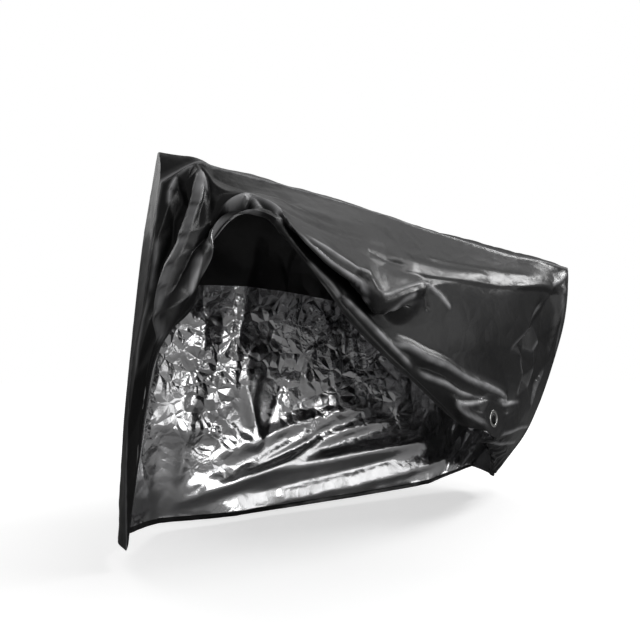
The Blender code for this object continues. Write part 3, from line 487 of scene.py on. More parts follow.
# ---------------------------------------------------------------- settings
class CoverCloth(bpy.types.PropertyGroup):
    """Sizes and colours of the cloth."""
    thickness: FloatProperty(name="Thickness", description="Thickness of the coated cloth",
                             default=0.0012, min=0.0005, max=0.003, unit="LENGTH")
    welt: FloatProperty(name="Seam welt", description="How far the sewn seams stand out",
                        default=0.0024, min=0.0, max=0.006, unit="LENGTH")
    hem_width: FloatProperty(name="Hem width", description="Width of the turned and stitched hem",
                             default=0.016, min=0.005, max=0.04, unit="LENGTH")
    stitch_length: FloatProperty(name="Stitch length", description="Length of one stitch",
                                 default=0.0042, min=0.002, max=0.01, unit="LENGTH")
    stitch_pitch: FloatProperty(name="Stitch pitch", description="From one stitch to the next",
                                default=0.0062, min=0.003, max=0.012, unit="LENGTH")
    crumple_seed: IntProperty(name="Crumple seed", description="Picks another crumpling",
                              default=7, min=0)
    black: FloatVectorProperty(name="Outside", description="Colour of the coated outside",
                               default=(0.006, 0.006, 0.0064), min=0.0, max=1.0, subtype="COLOR")
    silver: FloatVectorProperty(name="Inside", description="Colour of the silver inside",
                                default=(0.90, 0.90, 0.91), min=0.0, max=1.0, subtype="COLOR")
    thread: FloatVectorProperty(name="Thread", description="Colour of the stitching",
                                default=(0.045, 0.045, 0.047), min=0.0, max=1.0, subtype="COLOR")


class CoverEyelet(bpy.types.PropertyGroup):
    """Shape and colour of the eyelet."""
    dome: FloatProperty(name="Dome", description="How far the flange's face is domed",
                        default=0.0016, min=0.0, max=0.004, unit="LENGTH")
    metal: FloatVectorProperty(name="Metal", description="Colour of the plated metal",
                               default=(0.80, 0.80, 0.78), min=0.0, max=1.0, subtype="COLOR")


class CoverStudio(bpy.types.PropertyGroup):
    """Floor, lights and camera."""
    floor_z: FloatProperty(name="Floor height", description="Height of the floor",
                           default=-HELD_AT[2], unit="LENGTH")
    floor: FloatVectorProperty(name="Floor", description="Colour of the floor",
                               default=(0.86, 0.86, 0.86), min=0.0, max=1.0, subtype="COLOR")
    lens: FloatProperty(name="Lens", description="Focal length of the camera in millimetres",
                        default=30.94, min=10.0, max=200.0)
    heading: FloatProperty(name="Heading", description="Turn of the camera from +Y towards +X",
                           default=math.radians(29.7), unit="ROTATION")
    tilt: FloatProperty(name="Tilt", description="How far the camera looks up",
                        default=math.radians(4.35), unit="ROTATION")
    key: FloatProperty(name="Soft boxes", description="Brightness of all soft boxes",
                       default=1.0, min=0.0)
    sky: FloatProperty(name="Surroundings", description="Brightness of the studio round the cover",
                       default=0.14, min=0.0)


# ---------------------------------------------------------------- small helpers
def unit(vectors):
    """Scale each vector to length 1."""
    vectors = np.asarray(vectors, float)
    length = np.linalg.norm(vectors, axis=-1, keepdims=True)
    return vectors / np.maximum(length, 1e-12)


def smooth_step(t):
    """Ease from 0 to 1."""
    t = np.clip(t, 0.0, 1.0)
    return t * t * (3.0 - 2.0 * t)


def spline(knots, values, at):
    """Read a smooth curve through values, one row of values for each place asked for.

    values has the knots on its first axis; where it has a second axis of the same length as at,
    each place reads its own column.
    """
    knots = np.asarray(knots, float)
    values = np.asarray(values, float)
    at = np.clip(np.asarray(at, float), knots[0], knots[-1])
    slopes = np.gradient(values, knots, axis=0)
    i = np.clip(np.searchsorted(knots, at, side="right") - 1, 0, len(knots) - 2)
    h = (knots[i + 1] - knots[i])[:, None]
    t = (at - knots[i])[:, None] / h
    if values.ndim == 3:
        own = np.arange(len(at))
        start, end = values[i, own], values[i + 1, own]
        leave, arrive = slopes[i, own], slopes[i + 1, own]
    else:
        start, end = values[i], values[i + 1]
        leave, arrive = slopes[i], slopes[i + 1]
    return ((2 * t**3 - 3 * t**2 + 1) * start + (t**3 - 2 * t**2 + t) * h * leave
            + (3 * t**2 - 2 * t**3) * end + (t**3 - t**2) * h * arrive)


def running_length(points, axis):
    """Length along a grid's lines from their start, along one axis."""
    steps = np.linalg.norm(np.diff(points, axis=axis), axis=-1)
    start = np.zeros_like(np.take(steps, [0], axis=axis))
    return np.concatenate([start, np.cumsum(steps, axis=axis)], axis=axis)


def distance_to_path(points, path, normals=None):
    """Distance from each point to a path, how far along it is, and which side of it.

    The side is +1 on the left of the path's run as seen from where the normals point.
    """
    best = np.full(len(points), np.inf)
    along = np.zeros(len(points))
    side = np.ones(len(points))
    last = len(path) - 1
    for i in range(last):
        run = path[i + 1] - path[i]
        t = np.clip((points - path[i]) @ run / max(run @ run, 1e-12), 0.0, 1.0)
        away = points - path[i] - t[:, None] * run
        gap = np.linalg.norm(away, axis=1)
        nearer = gap < best
        best = np.where(nearer, gap, best)
        along = np.where(nearer, (i + t) / last, along)
        if normals is not None:
            left = np.sign(np.sum(np.cross(normals, run) * away, axis=1))
            side = np.where(nearer, left, side)
    return best, along, side


def unevenness(points, size, seed):
    """Slow random swells of the given size, from -1 to 1."""
    flat = points.reshape(-1, 3) / size + seed
    return np.array([noise.noise(Vector(p)) for p in flat]).reshape(points.shape[:-1])


# ---------------------------------------------------------------- the cloth's surfaces
class Panel:
    """A side panel: a smooth sheet through its sections, with the solid's folds raised on it.

    A place on it is a section number u, from the front seam to the rear seam, and a depth v, from 0
    at the top seam to 1 at the hem. side is 1 where outward is -Y and -1 where it is +Y.
    """

    def __init__(self, levels, sections, folds, side):
        self.depths = np.array(list(levels.values()))
        self.guides = np.array([row[1:] for row in sections], float) - np.array(HELD_AT)
        self.last = len(sections) - 1
        self.side = side
        self.paths = []
        for _, kind, start, end, width, height in folds:
            t = np.linspace(0.0, 1.0, FOLD_STEPS)
            u = start[0] + (end[0] - start[0]) * t
            v = start[1] + (end[1] - start[1]) * t
            self.paths.append((self.base(u, v), kind, width, height))

    def base(self, u, v):
        """The sheet before its folds."""
        u, v = np.broadcast_arrays(np.asarray(u, float), np.asarray(v, float))
        numbers = np.arange(self.last + 1)
        lines = np.stack([spline(numbers, self.guides[:, k], u.ravel())
                          for k in range(len(self.depths))])
        return spline(self.depths, lines, v.ravel()).reshape(u.shape + (3,))

    def facing(self, surface, u, v, du, dv):
        """Outward normal of one of this panel's surfaces, from points a little apart."""
        u, v = np.broadcast_arrays(np.asarray(u, float), np.asarray(v, float))
        along = (surface(np.clip(u + du, 0, self.last), v)
                 - surface(np.clip(u - du, 0, self.last), v))
        down = surface(u, np.clip(v + dv, 0, 1)) - surface(u, np.clip(v - dv, 0, 1))
        return self.side * unit(np.cross(down, along))

    def folded(self, u, v):
        """The sheet with the solid's folds."""
        u, v = np.broadcast_arrays(np.asarray(u, float), np.asarray(v, float))
        base = self.base(u, v)
        flat = base.reshape(-1, 3)
        rise = np.zeros(len(flat))
        for path, kind, width, height in self.paths:
            gap, along, side = distance_to_path(flat, path)
            ends = smooth_step(along / FOLD_ENDS) * smooth_step((1.0 - along) / FOLD_ENDS)
            rise += height * ends * CREASE_SHAPES[kind](gap, side, width)
        from_seams = np.minimum(u, self.last - u)
        edge = smooth_step(v / FOLD_EDGE[1]) * smooth_step(from_seams / FOLD_EDGE[0])
        outward = self.facing(self.base, u, v, *FACING_STEP)
        return base + outward * (rise.reshape(u.shape) * edge)[..., None]


def grid_lines(total, cells, end_lines):
    """Distances of grid lines along runs of the given total length: close together beside the
    seam at the start and beside what end_lines lists at the end, and even between."""
    total = np.asarray(total, float)[..., None]
    start = np.array(SEAM_LINES)
    end = np.array(end_lines)
    between = cells - (len(start) - 1) - (len(end) - 1)
    t = np.linspace(0.0, 1.0, between + 1)[1:-1]
    low, high = start[-1], total - end[0]
    return np.concatenate([np.broadcast_to(start, total.shape[:-1] + start.shape),
                           low + (high - low) * t, total - end], axis=-1)


def section_columns(panel):
    """Section numbers of the grid's columns, evenly spread over the cloth."""
    u = np.linspace(0.0, panel.last, GUIDE_STEPS[0] + 1)
    runs = [running_length(panel.base(u, depth), 0) for depth in LENGTH_DEPTHS]
    length = np.mean(runs, axis=0)
    return np.interp(grid_lines(length[-1], COLUMNS, SEAM_LINES[::-1]), length, u)


class Sheet:
    """One side panel's fine grid: points, outward normals and distances to its edges."""

    def __init__(self, panel, columns):
        self.panel = panel
        depth = np.linspace(0.0, 1.0, GUIDE_STEPS[1] + 1)
        coarse = panel.base(*np.meshgrid(columns, depth, indexing="ij"))
        run = running_length(coarse, 1)
        lines = grid_lines(run[:, -1], ROWS, HEM_LINES)
        self.v = np.array([np.interp(line, length, depth) for line, length in zip(lines, run)])
        self.u = np.broadcast_to(columns[:, None], self.v.shape)
        self.points = panel.folded(self.u, self.v)
        self.marks = np.zeros(self.v.shape)
        self.crumpled = np.ones(self.v.shape)
        self.measure()

    def measure(self):
        """Work out the normals and the distances to the seams and the hem."""
        along = np.gradient(self.points, axis=0)
        down = np.gradient(self.points, axis=1)
        self.normals = self.panel.side * unit(np.cross(down, along))
        across = running_length(self.points, 0)
        deep = running_length(self.points, 1)
        self.from_front, self.from_rear = across, across[-1] - across
        self.from_top, self.from_hem = deep, deep[:, -1:] - deep
        self.from_seam = np.minimum(np.minimum(self.from_front, self.from_rear), self.from_top)

    def lift(self, height):
        """Move the sheet outward by a height for each point."""
        self.points = self.points + self.normals * height[..., None]
        self.measure()

    def creases(self, rows):
        """Heights of the creases in a table."""
        flat, normals = self.points.reshape(-1, 3), self.normals.reshape(-1, 3)
        depth = self.v.ravel()
        height = np.zeros(len(flat))
        for _, kind, widths, rise, places in rows:
            t = np.linspace(0.0, 1.0, FOLD_STEPS * (len(places) - 1) + 1)
            path_u, path_v = spline(np.arange(len(places)), places, t * (len(places) - 1)).T
            path = self.panel.folded(path_u, np.clip(path_v, 0.0, 1.0))
            reach = CREASE_REACH * max(widths)
            near = np.all((flat > path.min(axis=0) - reach) & (flat < path.max(axis=0) + reach),
                          axis=1)
            gap, along, side = distance_to_path(flat[near], path, normals[near])
            width = widths[0] + (widths[1] - widths[0]) * along
            if kind in ("tent", "brow", "lap"):
                width = np.where(side > 0, widths[0], widths[1])
            own_depth = np.abs(depth[near] - np.interp(along, t, path_v))
            share = 1.0 - smooth_step((own_depth - CREASE_LAYER) / CREASE_LAYER)
            share *= smooth_step(along / CREASE_ENDS) * smooth_step((1.0 - along) / CREASE_ENDS)
            height[near] += rise * share * CREASE_SHAPES[kind](gap, side, width)
            # painted highlight: raised creases other than soft folds and brows get a pale line along
            # their crest
            if kind not in ("soft", "brow"):
                line = np.zeros(len(flat))
                painted_highlight = np.clip(rise / MARK_HEIGHT, 0.0, 1.0)
                line[near] = share * np.exp(-(gap / MARK_WIDTH) ** 2) * painted_highlight
                self.marks = np.maximum(self.marks, line.reshape(self.v.shape))
        return height.reshape(self.v.shape)


def soft_shape(gap, side, width):
    """A rounded fold."""
    return np.exp(-(gap / width) ** 2)


def ridge_shape(gap, side, width):
    """A sharp crease: a narrow crest between hollow flanks."""
    crest = SHARP_CREST + 0.06 * width
    return np.exp(-(np.hypot(gap, crest) - crest) / (0.8 * width))


def tent_shape(gap, side, width):
    """A sharp crease between two flat flanks."""
    return np.clip(1.0 - (np.hypot(gap, SHARP_CREST) - SHARP_CREST) / width, 0.0, 1.0)


def lap_shape(gap, side, width):
    """A layer that ends in a step along the line."""
    return np.where(side > 0, np.exp(-gap / width), np.clip(1.0 - gap / width, 0.0, 1.0))


CREASE_SHAPES = {"soft": soft_shape, "ridge": ridge_shape, "tent": tent_shape, "brow": tent_shape,
                 "lap": lap_shape}


def random_facets(shape, size, seed):
    """Random flat facets between sharp edges over a grid, from about -1 to 1."""
    rng = np.random.default_rng(seed)
    across, down = shape
    columns = np.arange(-size, across + size, size)
    rows = np.arange(-size, down + size, size)
    places = np.array([(i, j) for i in columns for j in rows], float)
    places += rng.uniform(-FACET_SPREAD, FACET_SPREAD, places.shape) * size
    return facets(shape, places, rng.uniform(-1.0, 1.0, len(places)), [])


def laid_facets(sheet, corners, creases, painted_highlight):
    """Heights of the listed facets on a sheet, whose raised creases get painted highlight lines of the
    given strength.
    """
    names = list(corners)
    columns = sheet.u[:, 0]
    places = []
    for u, v, _ in corners.values():
        i = np.interp(u, columns, np.arange(len(columns)))
        places.append((i, np.interp(v, sheet.v[int(round(i))], np.arange(sheet.v.shape[1]))))
    heights = np.array([corner[2] for corner in corners.values()])
    places = np.array(places)
    edges = [(names.index(a), names.index(b)) for run in creases for a, b in pairwise(run)]
    for a, b in edges:
        if heights[a] > 0 and heights[b] > 0:
            paint_highlight_line(sheet, places[a], places[b], painted_highlight)
    return facets(sheet.v.shape, places, heights, edges)


def paint_highlight_line(sheet, start, end, painted_highlight):
    """Paint a highlight line on a sheet along a straight crease between two places on its grid."""
    t = np.linspace(0.0, 1.0, HIGHLIGHT_STEPS)[:, None]
    at = start + (end - start) * t
    low = np.clip(np.floor(at).astype(int), 0, np.array(sheet.v.shape) - 2)
    share = at - low
    path = sum(sheet.points[low[:, 0] + di, low[:, 1] + dj]
               * (abs(1 - di - share[:, 0]) * abs(1 - dj - share[:, 1]))[:, None]
               for di in (0, 1) for dj in (0, 1))
    gap, along, _ = distance_to_path(sheet.points.reshape(-1, 3), path)
    past, fade = HIGHLIGHT_ENDS
    ends = smooth_step((along + past) / fade) * smooth_step((1.0 + past - along) / fade)
    line = painted_highlight * ends * np.exp(-(gap / MARK_WIDTH) ** 2)
    sheet.marks = np.maximum(sheet.marks, line.reshape(sheet.v.shape))


def facets(shape, places, heights, edges):
    """Flat facets between places on a grid, each with its height; edges must be among them."""
    corners, _, triangles, *_ = geometry.delaunay_2d_cdt(
        [Vector(p) for p in places], edges, [], 0, 1e-4)
    if len(corners) != len(places):
        raise ValueError("two creases cross each other")
    corners = np.array([tuple(c) for c in corners])
    result = np.zeros(shape)
    for triangle in triangles:
        a, b, c = corners[list(triangle)]
        low = np.maximum(np.floor(np.min([a, b, c], axis=0)).astype(int), 0)
        high = np.minimum(np.ceil(np.max([a, b, c], axis=0)).astype(int) + 1, shape)
        if (high <= low).any():
            continue
        i, j = np.meshgrid(np.arange(low[0], high[0]), np.arange(low[1], high[1]), indexing="ij")
        area = (b[0] - a[0]) * (c[1] - a[1]) - (c[0] - a[0]) * (b[1] - a[1])
        if abs(area) < 1e-9:
            continue
        second = ((i - a[0]) * (c[1] - a[1]) - (c[0] - a[0]) * (j - a[1])) / area
        third = ((b[0] - a[0]) * (j - a[1]) - (i - a[0]) * (b[1] - a[1])) / area
        first = 1.0 - second - third
        inside = (first >= -1e-9) & (second >= -1e-9) & (third >= -1e-9)
        at_first, at_second, at_third = (heights[corner] for corner in triangle)
        value = first * at_first + second * at_second + third * at_third
        view = result[low[0]:high[0], low[1]:high[1]]
        view[inside] = value[inside]
    return result


def soften(values, times):
    """Even out a grid of values between neighbours, so many times along it and down it."""
    for axis in (0, 1):
        for _ in range(times[axis]):
            before = np.concatenate([np.take(values, [0], axis), np.delete(values, -1, axis)], axis)
            after = np.concatenate([np.delete(values, 0, axis), np.take(values, [-1], axis)], axis)
            values = 0.25 * before + 0.5 * values + 0.25 * after
    return values


def calm(sheet, u, v, half_width, half_height, along, down):
    """Even out a sheet's own shape round one place, fading away from it."""
    away = ((sheet.u - u) / half_width) ** 2 + ((sheet.v - v) / half_height) ** 2
    share = np.exp(-away ** 2)[..., None]
    sheet.points = sheet.points * (1 - share) + soften(sheet.points, (along, down)) * share
    sheet.measure()


def ease_kinks(sheet):
    """Even out the few places where a sheet would fold back on itself within a cell or two."""
    free = smooth_step((sheet.from_hem - HEM_FIRM[0]) / HEM_FIRM[1])
    free = free * smooth_step((sheet.from_seam - SEAM_FIRM[0]) / SEAM_FIRM[1])
    for _ in range(EASE_TIMES):
        p = sheet.points
        along = p[1:, :-1] - p[:-1, :-1] + p[1:, 1:] - p[:-1, 1:]
        down = p[:-1, 1:] - p[:-1, :-1] + p[1:, 1:] - p[1:, :-1]
        faces = unit(np.cross(along, down))
        kinked = np.zeros(sheet.v.shape)
        for axis in (0, 1):
            bend = np.sum(np.delete(faces, 0, axis) * np.delete(faces, -1, axis), axis=-1)
            i, j = np.nonzero(bend < TIGHTEST_BEND)
            for step in (0, 1):
                kinked[(i + 1, j + step) if axis == 0 else (i + step, j + 1)] = 1.0
        share = np.clip(4.0 * soften(kinked, (1, 1)), 0.0, 1.0) * free
        sheet.points = p + (soften(p, (1, 1)) - p) * share[..., None]
    sheet.measure()


def crumple(sheet, rows, seed, rest=1.0, patches=()):
    """The sum of facets of several sizes, fading towards the seams and the hem."""
    height = sum(rise * random_facets(sheet.v.shape, size, seed + k)
                 for k, (size, rise) in enumerate(rows))
    strength = np.full(height.shape, rest)
    for u, v, half_width, half_height, change in patches:
        away = ((sheet.u - u) / half_width) ** 2 + ((sheet.v - v) / half_height) ** 2
        strength += change * np.exp(-away)
    factor, offset, least = FINE_FACETS
    sheet.crumpled = np.clip(factor * strength + offset, least, 1.0)
    offset, reach = CRUMPLE_AT_HEM
    fade = (smooth_step(sheet.from_seam / CRUMPLE_FROM)
            * smooth_step((sheet.from_hem + offset) / reach))
    return height * fade * np.maximum(strength, 0.0)


def seam_puckers(sheet, seed):
    """Small puckers that the sewn seams draw into the cloth beside them."""
    height, size, reach = SEAM_PUCKERS
    along = sheet.points * DRAWN_OUT
    draw = unevenness(along, size, seed) + 0.5 * unevenness(along, size / 2, seed + 3)
    fade = np.exp(-sheet.from_seam / reach)
    return height * draw * fade * smooth_step(sheet.from_seam / PUCKER_START)


def hem_shape(sheet, cloth, seed):
    """The turned hem's extra layer, its stitched grooves and its slow wave."""
    depth = sheet.from_hem
    inside, over = HEM_STEP
    layer = HEM_LAYER * (1.0 - smooth_step((depth - cloth.hem_width + inside) / over))
    groove, half_width = HEM_GROOVE
    grooves = sum(np.exp(-((depth - line) / half_width) ** 2) for line in hem_rows(cloth))
    pucker, pucker_size, pucker_reach = HEM_PUCKERS
    wave, wave_size, wave_reach = HEM_WAVE
    return (layer - groove * grooves
            + pucker * unevenness(sheet.points, pucker_size, seed) * np.exp(-depth / pucker_reach)
            + wave * unevenness(sheet.points, wave_size, seed + 5) * np.exp(-depth / wave_reach))


def hem_rows(cloth):
    """Distances of the two rows of hem stitching from the hem's edge."""
    return (HEM_STITCHING[0], cloth.hem_width - HEM_STITCHING[1])


def elastic_gathers(sheet):
    """The short pleats that the elastic draws into the rear hem."""
    share = smooth_step((sheet.u - GATHER_START[0]) / GATHER_START[1])
    share = share * smooth_step((GATHER_END[0] - sheet.u) / GATHER_END[1])
    turns = 2 * np.pi * sheet.from_front
    beat = np.sin(turns / GATHER_LENGTH + GATHER_CHANGE[1] * np.sin(turns / GATHER_CHANGE[0]))
    return GATHER_HEIGHT * share * beat * np.exp(-(sheet.from_hem / GATHER_REACH) ** 2)


def eyelet_seat(panel):
    """Centre and axis of the eyelet, from the solid's own folds."""
    centre = panel.folded(*EYELET_PLACE)
    return centre, panel.facing(panel.folded, *EYELET_PLACE, *EYELET_FACING)


def place_on(sheet, u, v):
    """The grid point of a sheet that is nearest to a section and a depth."""
    i = np.argmin(np.abs(sheet.u[:, 0] - u))
    return sheet.points[i, np.argmin(np.abs(sheet.v[i] - v))]


def flatten_at(sheet, centre, axis, radii):
    """Make a sheet flat round one place, within the first radius, fading to the second."""
    away = sheet.points - centre
    height = away @ axis
    radius = np.linalg.norm(away - height[..., None] * axis, axis=-1)
    share = 1.0 - smooth_step((radius - radii[0]) / (radii[1] - radii[0]))
    share = share * (np.abs(height) < radii[1])
    sheet.points = sheet.points - axis * (height * share)[..., None]
    sheet.measure()


class SewnCover:
    """The whole cover's sheets, worked out once: near side, far side and centre strip."""

    def __init__(self, cloth):
        seed = cloth.crumple_seed
        near = Panel(NEAR_LEVELS, NEAR_SECTIONS, NEAR_FOLDS, side=1.0)
        far = Panel(FAR_LEVELS, FAR_SECTIONS, FAR_FOLDS, side=-1.0)
        self.centre, self.axis = eyelet_seat(near)
        columns = section_columns(near)
        self.near = Sheet(near, columns)
        self.far = Sheet(far, columns / near.last * far.last)
        flatten_at(self.near, self.centre, self.axis, SOLID_FLAT)
        calm(self.near, *NEAR_CALM)
        flatten_at(self.near, place_on(self.near, *POCKET_PLACE), unit(POCKET_FACING), POCKET_FLAT)
        self.shape_near(cloth, seed)
        self.shape_far(cloth, seed + 50)

    def shape_near(self, cloth, seed):
        """Lay the near side's creases."""
        sheet = self.near
        free = smooth_step(sheet.from_seam / FREE_FROM)
        slow = NEAR_SLOW[0] * unevenness(sheet.points, NEAR_SLOW[1], seed + 1) * free
        small = NEAR_SMALL[0] * unevenness(sheet.points, NEAR_SMALL[1], seed + 2) * free
        laid = (sheet.creases(NEAR_CREASES)
                + laid_facets(sheet, FRONT_FACETS, FRONT_CREASES, FRONT_HIGHLIGHT)
                + laid_facets(sheet, REAR_FACETS, REAR_CREASES, REAR_HIGHLIGHT))
        # painted highlight lines along the front seam and, fainter, the top seam, made uneven along
        # their length
        sheet.marks = np.maximum(sheet.marks, np.exp(-(sheet.from_front / FRONT_MARK_WIDTH) ** 2))
        sheet.marks = np.maximum(sheet.marks, TOP_MARK * np.exp(-(sheet.from_top / MARK_WIDTH) ** 2))
        mean, change, size = MARK_PATCHES
        sheet.marks *= np.clip(mean + change * unevenness(sheet.points, size, seed + 9), 0.0, 1.0)
        sheet.lift(laid * smooth_step(sheet.from_seam / LAID_FROM)
                   + slow + small + crumple(sheet, NEAR_CRUMPLE, seed + 20))
        sheet.lift(seam_puckers(sheet, seed + 3) + hem_shape(sheet, cloth, seed + 4)
                   + elastic_gathers(sheet) + self.welt(sheet, cloth))
        ease_kinks(sheet)
        flatten_at(sheet, self.centre, self.axis, EYELET_FLAT)

    def shape_far(self, cloth, seed):
        """Lay the far side's creases."""
        sheet = self.far
        free = smooth_step(sheet.from_seam / FREE_FROM)
        sheet.lift(soften(sheet.creases(FAR_CREASES), (1, 1)) * free
                   + crumple(sheet, FAR_CRUMPLE, seed + 20, FAR_REST, FAR_PATCHES))
        sheet.lift(seam_puckers(sheet, seed + 3) + hem_shape(sheet, cloth, seed + 4)
                   + self.welt(sheet, cloth))
        ease_kinks(sheet)

    @staticmethod
    def welt(sheet, cloth):
        """The ridge that the seam allowance makes along a seam."""
        return cloth.welt * np.exp(-(sheet.from_seam / WELT_WIDTH) ** 2)

    @staticmethod
    def rim(sheet):
        """Columns and rows of the sewn edge's points, from the front hem over the top to the rear
        hem."""
        across, down = sheet.v.shape
        cells = ([(0, j) for j in range(down - 1, -1, -1)] + [(i, 0) for i in range(1, across)]
                 + [(across - 1, j) for j in range(1, down)])
        return np.array(cells)

    def strip(self):
        """Points of the centre strip's grid, their distances from the near seam, and its widths."""
        cells = self.rim(self.near)
        near = self.near.points[cells[:, 0], cells[:, 1]]
        far = self.far.points[cells[:, 0], cells[:, 1]]
        across, down = self.near.v.shape
        u = self.near.u[cells[:, 0], cells[:, 1]] / self.near.panel.last
        v = self.near.v[cells[:, 0], cells[:, 1]]
        number = np.arange(len(cells))
        on_top = number < down + across - 1
        places = np.where(number < down, 1.0 - v, np.where(on_top, 1.0 + u, 2.0 + v))
        rises = np.array([(row[1], 0.0, row[2]) for row in CROWN_RISE])
        rise = spline([row[0] for row in CROWN_RISE], rises, places)[:, None]
        width = np.linalg.norm(far - near, axis=1)
        edges = np.array(SEAM_LINES[:STRIP_SEAM_LINES])
        inner = STRIP_CELLS - 2 * (len(edges) - 1)
        t = np.empty((len(cells), STRIP_CELLS + 1))
        close = edges[None] / width[:, None]
        t[:, :len(edges)] = close
        t[:, -len(edges):] = 1.0 - close[:, ::-1]
        even = np.linspace(0.0, 1.0, inner + 1)[1:-1]
        low, high = close[:, -1:], 1.0 - close[:, -1:]
        t[:, len(edges):-len(edges)] = low + (high - low) * even
        t = t[..., None]
        points = near[:, None] * (1 - t) + far[:, None] * t + 4 * t * (1 - t) * rise
        return points, t[..., 0] * width[:, None], width


def strip_grid(cover, cloth):
    """Points and outward normals of the finished centre strip, and their distances to its seams."""
    points, from_near, width = cover.strip()
    along, across = np.gradient(points, axis=0), np.gradient(points, axis=1)
    normals = unit(np.cross(along, across))
    from_edge = np.minimum(from_near, width[:, None] - from_near)
    free = smooth_step(from_edge / STRIP_FREE_FROM)
    seed = cloth.crumple_seed + 90
    height = (STRIP_SLOW[0] * unevenness(points, STRIP_SLOW[1], seed)
              + STRIP_SMALL[0] * unevenness(points, STRIP_SMALL[1], seed + 1))
    pucker, size, reach = STRIP_PUCKERS
    pucker = pucker * unevenness(points * DRAWN_OUT, size, seed + 2) * np.exp(-from_edge / reach)
    height = height * free + pucker * smooth_step(from_edge / PUCKER_START)
    points = points + normals * height[..., None]
    return points, unit(np.cross(np.gradient(points, axis=0), np.gradient(points, axis=1))), from_edge


# ---------------------------------------------------------------- meshes
def new_piece(name, corners, faces, material=None):
    """A smooth mesh object in the scene."""
    mesh = bpy.data.meshes.new(name)
    mesh.from_pydata(corners, [], faces)
    mesh.shade_smooth()
    if material is not None:
        mesh.materials.append(material)
    piece = bpy.data.objects.new(name, mesh)
    bpy.context.scene.collection.objects.link(piece)
    return piece


def cell_corners(grid):
    """Views of a grid's values at the four corners of each of its cells."""
    across, down = grid.shape
    return [grid[i:across - 1 + i, j:down - 1 + j] for i, j in product((0, 1), repeat=2)]


def closed_sheet(name, points, normals, thickness, keep=None):
    """A thin closed sheet: an outer face and an inner face for each kept cell, and a rim. Returns
    the object and the columns and rows of its cells."""
    across, down = points.shape[:2]
    if keep is None:
        keep = np.ones((across - 1, down - 1), bool)
    half = normals * (thickness / 2)
    corners = np.concatenate([(points + half).reshape(-1, 3), (points - half).reshape(-1, 3)])
    number = np.arange(across * down).reshape(across, down)
    i, j = np.nonzero(keep)
    ring = np.stack([number[i, j], number[i + 1, j], number[i + 1, j + 1], number[i, j + 1]], axis=1)
    a, b, d = corners[ring[0, 0]], corners[ring[0, 1]], corners[ring[0, 3]]
    if np.dot(np.cross(b - a, d - a), normals[i[0], j[0]]) < 0:
        ring = ring[:, ::-1]
    inner = ring[:, ::-1] + across * down
    quads = [ring, inner]
    held = set(zip(i.tolist(), j.tolist()))
    rim = []
    for (p, q), face in zip(zip(i.tolist(), j.tolist()), ring.tolist()):
        if 0 < p < across - 2 and 0 < q < down - 2 and keep[p - 1:p + 2, q - 1:q + 2].all():
            continue
        for k in range(4):
            start, end = face[k], face[(k + 1) % 4]
            (si, sj), ei = divmod(start, down), end // down
            if si == ei:
                beside = (si if si > p else si - 1, q)
            else:
                beside = (p, sj if sj > q else sj - 1)
            if beside not in held:
                rim.append((end, start, start + across * down, end + across * down))
    quads.append(np.array(rim))
    faces = np.concatenate(quads)
    used = np.unique(faces)
    renumber = np.full(len(corners), -1)
    renumber[used] = np.arange(len(used))
    piece = new_piece(name, corners[used].tolist(), renumber[faces].tolist())
    piece.data.set_sharp_from_angle(angle=SHEET_EDGE)
    return piece, (i, j)


def finish_sheet(piece, cells, materials, black_inside=None):
    """Give a closed sheet its outside's material, and its inside's but for the cells whose inside is to
    be black as well.
    """
    for material in materials:
        piece.data.materials.append(material)
    count = len(cells[0])
    index = np.zeros(len(piece.data.polygons), int)
    index[count:2 * count] = 1
    if black_inside is not None:
        index[count:2 * count][black_inside[cells]] = 0
    piece.data.polygons.foreach_set("material_index", index)


def note_values(piece, points, name, values):
    """Note a grid's values on a piece's points, for its material."""
    tree = kdtree.KDTree(values.size)
    for number, point in enumerate(points.reshape(-1, 3)):
        tree.insert(point, number)
    tree.balance()
    values = values.ravel()
    found = [values[tree.find(vertex.co)[1]] for vertex in piece.data.vertices]
    piece.data.attributes.new(name, "FLOAT", "POINT").data.foreach_set("value", found)


def stitch_rows(name, rows, cloth, material):
    """Rows of single stitches as one object: each row is points on the cloth and their normals."""
    corners, faces = [], []
    radius, sides = STITCH_RADIUS, STITCH_SIDES
    for points, normals in rows:
        run = running_length(points, 0)
        starts = np.arange(cloth.stitch_pitch, run[-1] - cloth.stitch_pitch, cloth.stitch_pitch)
        for start in starts:
            a, b = (read_along(run, points, at) for at in (start, start + cloth.stitch_length))
            up = unit(read_along(run, normals, start))
            side = np.cross(up, unit(b - a))
            first = len(corners)
            corners.append(a - up * radius * STITCH_SUNK)
            for t in STITCH_BODY:
                middle = a + (b - a) * t + up * radius * STITCH_RAISED
                for turn in range(sides):
                    angle = 2 * math.pi * turn / sides
                    corners.append(middle + radius * (math.cos(angle) * side + math.sin(angle) * up))
            corners.append(b - up * radius * STITCH_SUNK)
            for turn in range(sides):
                after = (turn + 1) % sides
                low, high = first + 1 + turn, first + 1 + after
                faces.append((first, high, low))
                faces.append((low, high, high + sides, low + sides))
                faces.append((first + 2 * sides + 1, low + sides, high + sides))
    return new_piece(name, [tuple(c) for c in corners], faces, material)


def read_along(run, values, at):
    """Vectors given along a run, read at one distance."""
    return np.array([np.interp(at, run, values[:, k]) for k in range(3)])


